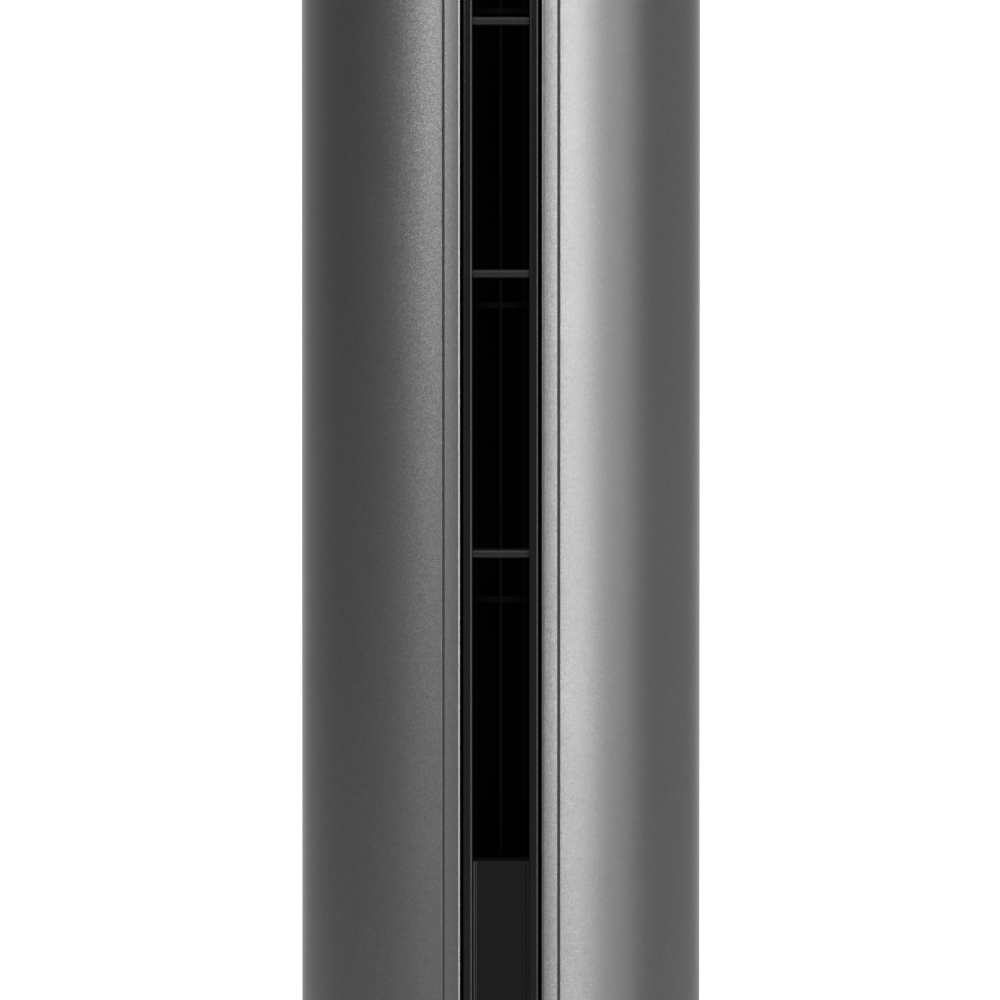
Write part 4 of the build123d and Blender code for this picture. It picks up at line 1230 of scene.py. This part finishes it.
@dataclass
class AirPath(SlotPart):
    """What shows through the slot: cross ribs, the channel behind the rails, and the wheel."""

    rib_set_back: float = 1.5 * MM
    rib: float = 2.8 * MM
    first_bay: float = 0.1
    bay_step: float = 0.009
    ribs: int = 7
    channel_wall: float = 1.5 * MM
    end_wall: float = 3 * MM
    blades: int = 28
    cells: int = 6
    blade_half: float = 0.45 * MM
    blade_lean: float = 12.0
    blade_curl: float = 1.6
    ring_width: float = 11.5 * MM
    hub_in: float = 8 * MM
    hub_out: float = 12 * MM

    def __post_init__(self) -> None:
        """Takes the sizes that the frame holds from the frame."""
        super().__post_init__()
        self.channel_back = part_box("outlet_grille")[1].y
        low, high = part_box("impeller")
        self.wheel_foot, self.wheel_head = low.z, high.z
        self.wheel_y, self.wheel_r = (low.y + high.y) / 2, (high.y - low.y) / 2

    def build(self) -> None:
        """Makes the grille of the slot and the wheel behind it."""
        self.slot_grille()
        self.wheel()

    def slot_grille(self) -> None:
        """Cross ribs with rounded fronts, and the channel's walls behind the rails."""
        front = self.rail_front + self.rib_set_back
        ribs = grown("ribs", self.shop.ribs, {
            "Foot": self.slot_foot, "First bay": self.first_bay, "Bay step": self.bay_step,
            "Ribs": self.ribs, "Width": 2 * self.rail_in + 2.4 * MM, "Depth": self.channel_back - front,
            "Thickness": self.rib, "Front": front,
        })
        softened(ribs, 1.15 * MM, 6)
        back = self.rail_front + 8.1 * MM
        walls = [ribs]
        for side in (-1, 1):
            inner, outer = side * self.rail_in, side * (self.rail_in + self.channel_wall)
            walls.append(box_object(
                "wall", (min(inner, outer), back, self.slot_foot - self.end_wall),
                (max(inner, outer), self.channel_back, self.slot_head + self.end_wall),
            ))
        for low in (self.slot_foot - self.end_wall, self.slot_head):
            walls.append(box_object(
                "end", (-self.rail_in, self.rail_front + 3.9 * MM, low),
                (self.rail_in, self.channel_back, low + self.end_wall),
            ))
        piece = joined("slot_grille", walls)
        # The grille wears a lighter copy of the duct's black plastic: painted light on the ribs.
        self.shop.place(piece, "column", "rib_black_painted_light", ["outlet_grille"], "duct_black")

    def wheel(self) -> None:
        """Cross-flow wheel with thin curved blades."""
        outer, inner = self.wheel_r - 0.4 * MM, self.wheel_r - 10 * MM
        steps = 8
        line = []
        for k in range(steps + 1):
            share = k / steps
            radius = inner + (outer - inner) * share
            line.append((radius, math.radians(self.blade_lean * (1 - share) ** self.blade_curl)))
        near = [(r * math.cos(a), r * math.sin(a) + self.blade_half) for r, a in line]
        far = [(r * math.cos(a), r * math.sin(a) - self.blade_half) for r, a in reversed(line)]
        foot, head = self.wheel_foot + 1 * MM, self.wheel_head - 1 * MM
        blade = upright("blade", near + far, foot, head)
        piece = grown("cross_flow_wheel", self.shop.wheel, {
            "Blade": blade, "Blades": self.blades, "Centre Y": self.wheel_y, "Foot": foot, "Head": head,
            "Cells": self.cells, "Ring middle": self.wheel_r - self.ring_width / 2,
            "Ring width": self.ring_width, "Ring thickness": 2 * MM,
            "Material": self.shop.paint.material("wheel_black"),
        })
        bpy.data.objects.remove(blade)
        hubs = [piece]
        web_out = self.wheel_r - 11 * MM
        for low, high, end in (
            (self.wheel_foot, self.wheel_foot + 14 * MM, self.wheel_foot + 2 * MM),
            (self.wheel_head - 12 * MM, self.wheel_head, self.wheel_head),
        ):
            web = [(self.hub_in, end - 2 * MM), (web_out, end - 2 * MM), (web_out, end), (self.hub_in, end)]
            tube = rounded(
                [(self.hub_in, low), (self.hub_out, low), (self.hub_out, high), (self.hub_in, high)],
                [0, 0.4 * MM, 0.4 * MM, 0],
            )
            hubs += [lathe("web", web, 96, (0, self.wheel_y)), lathe("tube", tube, 48, (0, self.wheel_y))]
        piece = joined("cross_flow_wheel", hubs)
        self.shop.place(piece, "wheel", "wheel_black", ["impeller"], "duct_black")


@dataclass
class Back:
    """Rear cover with the intake grille, its screws and the grip recess."""

    shop: Workshop
    wall: float = 2.5 * MM
    edge_angle: float = 131.2
    border_angle: float = 131.0
    screw_sink: float = 1.6 * MM
    grille_angle: float = 138.0
    grille_foot: float = 0.292
    grille_head: float = 0.864
    bars: int = 20
    hoops: int = 11
    grip_z: float = 0.9075
    grip_h: float = 0.035
    grip_half: float = 0.035
    grip_depth: float = 0.036
    screw_heights: tuple[float, ...] = (0.060, 0.250, 0.445, 0.640, 0.835, 0.946)

    def __post_init__(self) -> None:
        """Takes the sizes that the frame holds from the frame."""
        low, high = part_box("intake_grille")
        self.radius, self.foot, self.wall_head = high.y, low.z, high.z
        self.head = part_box("rear_cover")[1].z
        self.cover_foot = self.wall_head + 0.2 * MM

    def build(self) -> None:
        """Makes the rear cover, its screws and the grip."""
        self.cover()
        self.cover_screws()
        self.grip()

    def wall_piece(self, name: str, low: float, high: float, window: Piece) -> Piece:
        """Curved wall between two heights, with one window and its counterbored screw holes.

        Args:
            name: the piece's name.
            low: height of its foot.
            high: height of its head.
            window: the shape that cuts the window; it is removed.

        Returns:
            The wall.
        """
        piece = self.shop.curved_wall(
            name, self.wall, False, Radius=self.radius, Start_angle=self.edge_angle,
            End_angle=360 - self.edge_angle, Foot=low, Head=high, Steps_round=100,
        )
        tools = [window]
        for seat, way in self.screw_places(0.0):
            if low < seat.z < high:
                tools.append(rod("hole", 2.9 * MM, seat, seat + way * 6 * MM, 24))
        return softened(cut(piece, tools), 0.35 * MM, 3, 55)

    def cover(self) -> None:
        """Upper wall round the grip, and the wall below it with the bars of the air intake."""
        half = plan_angle(self.grip_half, self.radius)
        low, high = self.grip_z - self.grip_h / 2, self.grip_z + self.grip_h / 2
        window = self.wedge(180 - half, 180 + half, low, high)
        piece = self.wall_piece("rear_panel", self.cover_foot, self.head, window)
        self.shop.place(piece, "column", "metallic_grey", ["rear_cover"], "metallic_grey")

        span = 2 * (180 - self.grille_angle)
        window = self.wedge(self.grille_angle, self.grille_angle + span, self.grille_foot, self.grille_head)
        piece = self.wall_piece("intake_wall", self.foot, self.wall_head, window)
        grille = grown("intake_bars", self.shop.grille, {
            "Radius": self.radius, "Wall": self.wall, "Start angle": self.grille_angle,
            "End angle": self.grille_angle + span, "Foot": self.grille_foot, "Head": self.grille_head,
            "Bars": self.bars, "Hoops": self.hoops,
        })
        softened(grille, 0.4 * MM, 2)
        piece = joined("intake_wall", [piece, grille])
        self.shop.place(piece, "column", "metallic_grey", ["intake_grille"], "metallic_grey")

    def wedge(self, start: float, end: float, low: float, high: float) -> Piece:
        """Cutting shape that spans the wall between two plan angles.

        Args:
            start: the first plan angle in degrees.
            end: the last plan angle in degrees.
            low: height of its foot.
            high: height of its head.

        Returns:
            The cutting shape.
        """
        inner = arc_points(self.radius - 9 * MM, start, end, 40)
        outer = arc_points(self.radius + 9 * MM, end, start, 40)
        return upright("wedge", inner + outer, low, high)

    def screw_places(self, sunk: float) -> list[tuple[Vector, Vector]]:
        """Places of the cover's screws.

        Args:
            sunk: how far the places lie under the floors of the counterbores.

        Returns:
            Each screw's seat and the way that its head faces.
        """
        places = []
        middle = (self.border_angle + self.grille_angle) / 2
        for z in self.screw_heights:
            for angle in (middle, 360 - middle):
                seat = Vector((*spot(angle, self.radius - self.screw_sink - sunk), z))
                places.append((seat, Vector((*spot(angle, 1.0), 0))))
        return places

    def cover_screws(self) -> None:
        """Twelve pan-head screws down the cover's two borders."""
        pattern = pan_screw(2.7 * MM, 1.4 * MM, 1.35 * MM, 6.4 * MM)
        piece = self.shop.screws("rear_screws", pattern, self.screw_places(-0.02 * MM))
        self.shop.place(piece, "column", "steel_zinc", ["rear_cover_screws"], "steel_zinc")

    def grip(self) -> None:
        """Smooth scoop behind the cover's upper window, open to the back."""
        half, wall = self.grip_half + 0.5 * MM, 2 * MM
        low, high = self.grip_z - self.grip_h / 2 - 0.5 * MM, self.grip_z + self.grip_h / 2 + 0.5 * MM
        reach = self.radius - self.wall - 0.3 * MM
        side = math.sqrt(reach**2 - (half + wall) ** 2)
        steps = 24
        start = plan_angle(half + wall, reach)
        rim = arc_points(reach, 180 - start, 180 + start, steps)
        outside = [(half + wall, self.grip_depth - wall), (half + wall, side - 0.1 * MM), *rim,
                   (-half - wall, side - 0.1 * MM), (-half - wall, self.grip_depth - wall)]
        piece = upright("grip_scoop", outside, low - wall, high + wall)
        inside = box_object("inside", (-half, self.grip_depth, low), (half, self.radius + 9 * MM, high))
        cut(piece, [softened(inside, 5 * MM, 6)])
        softened(piece, 0.3 * MM, 2, 60)
        self.shop.place(piece, "column", "frame_black", ["handle_scoop"], "frame_black")


class Icon(Enum):
    """Plain signs on the keys."""

    POWER = "power_key"
    SPEED = "speed_key"
    MODE = "mode_key"
    TIMER = "timer_key"
    SWING = "swing_key"


@dataclass
class Top:
    """Cap, glossy deck, display and push keys."""

    shop: Workshop
    ledge_r: float = 51 * MM
    ledge_z: float = 0.9736
    post_ring: float = 44 * MM
    pane_half: float = 15 * MM
    lamps: int = 5
    icon_height: float = 0.06 * MM
    stroke: float = 0.55 * MM

    def __post_init__(self) -> None:
        """Takes the sizes that the frame holds from the frame."""
        low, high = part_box("top_cap")
        self.radius, self.cap_head, self.skirt = high.x, high.z, low.z
        self.cap_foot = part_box("right_shell")[1].z + 0.5 * MM
        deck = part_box("control_deck")
        self.deck_r, self.deck_head = deck[1].x, deck[1].z
        self.deck_foot = self.deck_head - 3 * MM

    def build(self) -> None:
        """Makes the cap, the deck, the display and the keys with their signs."""
        self.cap()
        self.deck()
        self.display()
        for icon in Icon:
            self.key(icon)

    def cap(self) -> None:
        """Turned rim with a rounded shoulder and a skirt inside the shells."""
        r, inner = self.radius, self.radius - 2.8 * MM
        outline = rounded(
            [(self.deck_r + 0.2 * MM, self.cap_head - 1.2 * MM), (self.deck_r + 1.4 * MM, self.cap_head),
             (r, self.cap_head), (r, self.cap_foot), (inner, self.cap_foot), (inner, self.skirt + 9 * MM),
             (inner - 2.4 * MM, self.skirt + 9 * MM), (inner - 2.4 * MM, self.ledge_z),
             (self.ledge_r, self.ledge_z), (self.ledge_r, self.deck_foot - 0.05 * MM),
             (self.deck_r + 0.2 * MM, self.deck_foot - 0.05 * MM)],
            [0.3 * MM, 0.5 * MM, 4.5 * MM, 0.35 * MM, 0, 0, 0, 0, 0, 0, 0], 10,
        )
        piece = lathe("cap_rim", outline, 192)
        self.shop.place(piece, "column", "metallic_grey", ["top_cap"], "metallic_grey")

    def deck(self) -> None:
        """Glossy disc with the key and display openings."""
        outline = rounded(
            [(0, self.deck_foot), (self.deck_r, self.deck_foot),
             (self.deck_r, self.deck_head), (0, self.deck_head)],
            [0, 0, 0.4 * MM, 0],
        )
        piece = lathe("deck_plate", outline, 192)
        up, down = self.deck_head + 2 * MM, self.deck_foot - 2 * MM
        tools = []
        for icon in Icon:
            centre, radius = self.key_size(icon)
            tools.append(peg("hole", radius + 0.35 * MM, centre, down, up, 64))
        low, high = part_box("display_window")
        half = self.pane_half + 0.1 * MM
        tools.append(box_object("hole", (-half, low.y + 1.9 * MM, down), (half, high.y - 1.9 * MM, up)))
        cut(piece, tools)
        softened(piece, 0.2 * MM, 2, 55)
        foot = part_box("control_deck")[0].z
        posts = [peg("post", 3 * MM, spot(angle, self.post_ring), foot, self.deck_foot + 0.5 * MM, 24)
                 for angle in (45, 135, 225, 315)]
        piece = joined("deck_plate", [piece, *posts])
        self.shop.place(piece, "column", "deck_gloss", ["control_deck"], "deck_gloss")

    def key_size(self, icon: Icon) -> tuple[Point2, float]:
        """A key's centre on the plan and its cap's radius."""
        low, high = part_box(icon.value)
        return ((low.x + high.x) / 2, (low.y + high.y) / 2), (high.x - low.x) / 2 - 1.4 * MM

    def display(self) -> None:
        """Smoked window with a row of small lamps under it."""
        low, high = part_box("display_window")
        pane = box_object("pane", (-self.pane_half, low.y + 2 * MM, low.z),
                          (self.pane_half, high.y - 2 * MM, self.deck_head))
        softened(pane, 0.25 * MM)
        flange = box_object("flange", low, (high.x, high.y, self.deck_foot - 0.03 * MM))
        piece = joined("display_pane", [pane, flange])
        self.shop.place(piece, "column", "window_smoke", ["display_window"], "window_smoke")
        dot = [(0, 0), (0.8 * MM, 0), (0.8 * MM, 0.08 * MM), (0, 0.12 * MM)]
        lift = Matrix.Translation((0, 0, self.deck_head - 0.02 * MM))
        for k in range(self.lamps):
            centre = ((k - self.lamps // 2) * 5 * MM, (low.y + high.y) / 2)
            lamp = moved(lathe(f"lamp_{k + 1}", dot, 24, centre), lift)
            self.shop.place(lamp, "column", "lamp_white" if k < 2 else "lamp_off", [], "window_smoke")

    def key(self, icon: Icon) -> None:
        """Round key with a dished top, its collar and its stem, and the sign on it.

        Args:
            icon: which key.
        """
        low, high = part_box(icon.value)
        centre, radius = self.key_size(icon)
        dish = 0.35 * MM
        collar = self.deck_foot - 0.6 * MM
        outline = rounded(
            [(0, low.z), (2.4 * MM, low.z), (2.4 * MM, self.deck_foot - 3 * MM),
             (radius + 1.4 * MM, self.deck_foot - 3 * MM), (radius + 1.4 * MM, collar), (radius, collar),
             (radius, high.z), (radius * 0.55, high.z - dish * 0.6), (0, high.z - dish)],
            [0, 0, 0, 0, 0, 0, 0.7 * MM, 4 * MM, 0], 8,
        )
        piece = lathe(icon.value + "_cap", outline, 72, centre)
        self.shop.place(piece, icon.value, "key_satin", [icon.value], "key_satin")
        sign = joined(icon.value + "_sign", [self.stroke_piece(line) for line in self.strokes(icon, radius)])
        lift = Matrix.Translation((*centre, high.z - dish * 0.95))
        self.shop.place(moved(sign, lift), icon.value, "icon_pale", [], "key_satin")

    def stroke_piece(self, line: Sequence[Point2]) -> Piece:
        """Flat raised stroke along a line.

        Args:
            line: the points that it runs through.

        Returns:
            The stroke.
        """
        left, right = [], []
        for i, here in enumerate(line):
            before, after = Vector(line[max(i - 1, 0)]), Vector(line[min(i + 1, len(line) - 1)])
            way = (after - before).normalized()
            side = Vector((-way.y, way.x)) * self.stroke / 2
            left.append(tuple(Vector(here) + side))
            right.append(tuple(Vector(here) - side))
        return upright("stroke", left + right[::-1], 0, self.icon_height * 5)

    @staticmethod
    def arc(radius: float, start: float, end: float, centre: Point2 = (0, 0)) -> list[Point2]:
        """Points of an arc, its angles in degrees from +Y, clockwise."""
        angles = [math.radians(start + (end - start) * k / 20) for k in range(21)]
        return [(centre[0] + radius * math.sin(a), centre[1] + radius * math.cos(a)) for a in angles]

    def strokes(self, icon: Icon, key_radius: float) -> list[list[Point2]]:
        """Lines that draw a key's sign.

        Args:
            icon: which sign.
            key_radius: radius of the key that it is on.

        Returns:
            One list of points for each stroke.
        """
        r = key_radius * 0.42
        if icon is Icon.POWER:
            return [self.arc(r, 38, 322), [(0, r * 0.25), (0, r * 1.25)]]
        if icon is Icon.SPEED:
            return [[(x * r, -0.7 * r), (x * r, h * r)] for x, h in ((-0.7, -0.15), (0, 0.3), (0.7, 0.8))]
        if icon is Icon.MODE:
            wave = [k / 10 - 1 for k in range(21)]
            return [[(x * r, (y + 0.25 * math.sin(x * math.pi)) * r) for x in wave]
                    for y in (0.5, -0.1, -0.7)]
        if icon is Icon.TIMER:
            return [self.arc(r, 0, 360), [(0, 0.65 * r), (0, 0)], [(0, 0), (0.45 * r, 0)]]
        sweep = self.arc(r, -60, 60, (0, -0.35 * r))
        return [sweep, *[[(s * 0.45 * r, 0.35 * r), (s * 0.92 * r, 0.1 * r), (s * 0.85 * r, 0.65 * r)]
                         for s in (-1, 1)]]


@dataclass
class Base:
    """Round base: domed shell, underside plate, feet, screws and the jack."""

    shop: Workshop
    skin: float = 2.8 * MM
    cover_top: float = 5.5 * MM
    foot_ring: float = 0.116
    screw_ring: float = 0.128
    counterbore: float = 1.7 * MM
    socket_bore: float = 2.75 * MM

    def __post_init__(self) -> None:
        """Takes the sizes that the frame holds from the frame."""
        low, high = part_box("base_shell")
        self.radius, self.foot, self.head = high.x, low.z, high.z
        self.column_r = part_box("right_shell")[1].x
        self.cover_low, self.cover_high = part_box("base_cover")
        jack_low, jack_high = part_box("power_socket")
        self.jack_z = (jack_low.z + jack_high.z) / 2
        self.jack_back = jack_high.y

    def build(self) -> None:
        """Makes every piece of the base that shows."""
        self.shell()
        self.plate()
        self.feet()
        self.plate_screws()
        self.jack()

    def shell(self) -> None:
        """Low dome with a soft rim and a flat seat for the column."""
        r, c, top = self.radius, self.column_r, self.head
        outline = rounded(
            [(18.3 * MM, top), (60 * MM, top), (c + 2 * MM, top - 1.2 * MM), (r - 6 * MM, top - 5.6 * MM),
             (r, top - 10 * MM), (r, self.foot), (r - self.skin, self.foot), (r - self.skin, 14.4 * MM),
             (r - 7.5 * MM, 17.8 * MM), (62 * MM, 20 * MM), (18.3 * MM, 20 * MM)],
            [0.4 * MM, 3 * MM, 6 * MM, 4 * MM, 3 * MM, 0.8 * MM, 0.6 * MM, 2 * MM, 3 * MM, 3 * MM, 0], 10,
        )
        piece = lathe("base_dome", outline, 256)
        inside, outside = (Vector((0, r + step, self.jack_z)) for step in (-18 * MM, 6 * MM))
        hole = rod("hole", 4.25 * MM, inside, outside, 48)
        cut(piece, [hole])
        self.shop.place(piece, "base", "base_grey", ["base_shell"], "base_grey")

    def plate(self) -> None:
        """Underside plate with its rim rounded and a shallow moulded ring."""
        r, low, high = self.cover_high.x, self.cover_low.z, self.cover_top
        outline = rounded(
            [(6 * MM, low), (r * 0.55, low), (r * 0.55 + 1 * MM, low + 0.5 * MM), (r * 0.6, low + 0.5 * MM),
             (r * 0.6 + 1 * MM, low), (r, low), (r, high), (6 * MM, high)],
            [0, 0, 0, 0, 0, 0.8 * MM, 0, 0], 5,
        )
        piece = lathe("base_plate", outline, 192)
        cut(piece, [peg("hole", 3.3 * MM, centre, low - 2 * MM, low + self.counterbore, 32)
                    for centre in self.ring(30, self.screw_ring)])
        self.shop.place(piece, "base", "structure_black", ["base_cover"], "structure_black")

    @staticmethod
    def ring(first: float, radius: float) -> list[Point2]:
        """Six even places round the base."""
        return [spot(first + 60 * k, radius) for k in range(6)]

    def feet(self) -> None:
        """Six rubber feet with a grooved tread."""
        height = self.cover_low.z - 0.02 * MM
        outline = [
            (0, 0.5 * MM), (3 * MM, 0.5 * MM), (3.4 * MM, 0), (5.4 * MM, 0), (5.6 * MM, 0.4 * MM),
            (6.4 * MM, 0.4 * MM), (6.6 * MM, 0), (8.2 * MM, 0), (9 * MM, 0.8 * MM), (9 * MM, height),
            (3 * MM, height), (3 * MM, self.cover_top), (0, self.cover_top),
        ]
        pattern = lathe("foot", outline, 40)
        spots = [(Vector((*centre, 0)), Vector((0, 0, 1))) for centre in self.ring(0, self.foot_ring)]
        piece = self.shop.screws("floor_feet", pattern, spots)
        self.shop.place(piece, "base", "rubber_black", ["rubber_feet"], "rubber_black")

    def plate_screws(self) -> None:
        """Six screws in the underside plate."""
        pattern = pan_screw(3 * MM, 1.5 * MM, 1.45 * MM, 9.5 * MM)
        seat = self.cover_low.z + self.counterbore
        spots = [(Vector((*centre, seat)), Vector((0, 0, -1))) for centre in self.ring(30, self.screw_ring)]
        piece = self.shop.screws("base_plate_screws", pattern, spots)
        self.shop.place(piece, "base", "steel_zinc", ["base_cover_screws"], "steel_zinc")

    def jack(self) -> None:
        """Round jack in the base's edge, with its contact pin."""
        back, bore = self.jack_back, self.socket_bore
        outline = rounded(
            [(0, -14 * MM), (4.1 * MM, -14 * MM), (4.1 * MM, 0), (bore, 0), (bore, -10 * MM), (0, -10 * MM)],
            [0, 0, 0.5 * MM, 0.4 * MM, 0, 0], 5,
        )
        shell = lathe("jack", outline, 48)
        pin = lathe("pin", rounded([(0, -10.5 * MM), (1 * MM, -10.5 * MM), (1 * MM, -2 * MM), (0, -2 * MM)],
                                   [0, 0, 0.4 * MM, 0]), 24)
        turn = Matrix.Translation((0, back, self.jack_z)) @ Matrix.Rotation(-math.pi / 2, 4, "X")
        self.shop.place(moved(shell, turn), "base", "structure_black", ["power_socket"], "duct_black")
        self.shop.place(moved(pin, turn), "base", "steel_zinc", [], "duct_black")


# ------------------------------------------------------------------ carried-over frame nodes
def dress_frame(paint: Paintshop) -> None:
    """Gives every frame node that still shows the finish of its material slot.

    Args:
        paint: where the finishes are made.
    """
    for part in frame["record"]["subparts"]:
        node = frame["nodes"][part["node"]]
        if not node.hide_render:
            paint.dress(node, part["material_slot"])
            LOG.info("%s keeps its shape, dressed as %s", node.name, part["material_slot"])


# ------------------------------------------------------------------ studio
@dataclass(frozen=True)
class SoftBox:
    """Upright rectangular light that faces the column."""

    name: str
    angle: float
    high: bool
    power: float
    distance: float = 1.8
    width: float = 0.28

    def build(self, passed_over: bpy.types.Collection) -> None:
        """Hangs the light at its plan angle, beside the column's upper or lower part.

        Args:
            passed_over: the objects that it leaves unlit.
        """
        z, height = (1.15, 0.9) if self.high else (0.36, 0.68)
        lamp = bpy.data.lights.new(self.name, "AREA")
        lamp.shape = "RECTANGLE"
        lamp.size, lamp.size_y = self.width, height
        lamp.energy = self.power
        made = bpy.data.objects.new(self.name, lamp)
        bpy.context.scene.collection.objects.link(made)
        x, y = spot(self.angle, self.distance)
        made.location = (x, y, z)
        made.rotation_euler = Vector((-x, -y, 0)).to_track_quat("-Z", "Y").to_euler()
        made.light_linking.receiver_collection = passed_over


RIG = (
    SoftBox("key_upper", 40, True, 6.0),
    SoftBox("key_upper_near", 32, True, 3.3),
    SoftBox("key_lower", 40, False, 2.15),
    SoftBox("key_lower_near", 32, False, 2.1),
    SoftBox("key_lower_far", 50, False, 2.1),
    SoftBox("side_upper", 72, True, 2.1),
    SoftBox("side_lower", 72, False, 1.0),
    SoftBox("rear_upper", 112, True, 0.45, width=0.9),
    SoftBox("rear_lower", 112, False, 0.32, width=0.9),
    SoftBox("fill_upper", -38, True, 8.8),
    SoftBox("fill_upper_near", -30, True, 0.83),
)


@dataclass
class Studio:
    """Floor, light and camera."""

    aim_z: float = 0.4154
    distance: float = 3.0
    elevation: float = 2.0
    half_view: float = 0.16585
    side_step: float = -0.28 * MM
    floor_r: float = 2.6
    ambient: float = 0.12
    overhead: float = 0.8
    rim_wide: float = 0.23
    rim_narrow: float = 1.08

    def build(self) -> None:
        """Makes the studio."""
        passed_over = bpy.data.collections.new("passed over by the softboxes")
        passed_over.objects.link(self.floor())
        passed_over.collection_objects[0].light_linking.link_state = "EXCLUDE"
        for lamp in RIG:
            lamp.build(passed_over)
        self.surround()
        self.camera()

    def floor(self) -> Piece:
        """Plain pale disc, lit by the backdrop alone so that it stays even."""
        outline = [(0, -20 * MM), (self.floor_r, -20 * MM), (self.floor_r, -0.2 * MM), (0, -0.2 * MM)]
        disc = lathe("floor", outline, 96)
        made = bpy.data.materials.new("pale_floor")
        made.use_nodes = True
        shader = made.node_tree.nodes["Principled BSDF"]
        shader.inputs["Base Color"].default_value = (0.8, 0.8, 0.8, 1)
        shader.inputs["Roughness"].default_value = 0.6
        disc.data.materials.append(made)
        return disc

    def surround(self) -> None:
        """White backdrop: bright behind the fan and overhead, dim in front, plain white to the eye."""
        world = bpy.data.worlds.new("studio")
        bpy.context.scene.world = world
        world.use_nodes = True
        world.node_tree.nodes.clear()
        t = Tree(world.node_tree)
        way = t.add("ShaderNodeSeparateXYZ", None, i0=t.add("ShaderNodeTexCoord").outputs["Generated"])
        wide = t.mapped(way.outputs[1], 0.4, 0.8, self.ambient, self.ambient + self.rim_wide)
        narrow = t.mapped(way.outputs[1], 0.88, 1.0, 0.0, self.rim_narrow)
        above = t.mapped(way.outputs[2], 0.3, 1.0, 0.0, self.overhead)
        glow = t.maths("ADD", t.maths("ADD", wide, narrow), above)
        seen = t.add("ShaderNodeLightPath").outputs["Is Camera Ray"]
        level = t.maths("MAXIMUM", glow, seen)
        light = t.add("ShaderNodeBackground", None, Color=(1, 1, 1, 1), Strength=level)
        sink = t.add("ShaderNodeOutputWorld")
        t.link(light.outputs[0], sink.inputs[0])

    def camera(self) -> None:
        """Long lens at the height of the slot's middle, a little above level."""
        lens = bpy.data.cameras.new("camera")
        made = bpy.data.objects.new("camera", lens)
        bpy.context.scene.collection.objects.link(made)
        tilt = math.radians(self.elevation)
        back, rise = self.distance * math.cos(tilt), self.distance * math.sin(tilt)
        made.location = (self.side_step, -back, self.aim_z + rise)
        made.rotation_euler = (math.pi / 2 - tilt, 0, 0)
        lens.sensor_width = 36.0
        lens.lens = lens.sensor_width / 2 * self.distance / self.half_view
        lens.clip_end = 100
        scene = bpy.context.scene
        scene.camera = made
        scene.view_settings.view_transform = "Standard"
        scene.view_settings.look = "None"


def main() -> None:
    """Builds the fan's looks round the frame, then the studio."""
    logging.basicConfig(level=logging.INFO, format="%(name)s: %(message)s")
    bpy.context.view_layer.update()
    paint = Paintshop()
    shop = Workshop(paint)
    Studio().build()
    for part in (Column(shop), AirPath(shop), Back(shop), Top(shop), Base(shop)):
        part.build()
    dress_frame(paint)


if __name__ == "__main__":
    main()
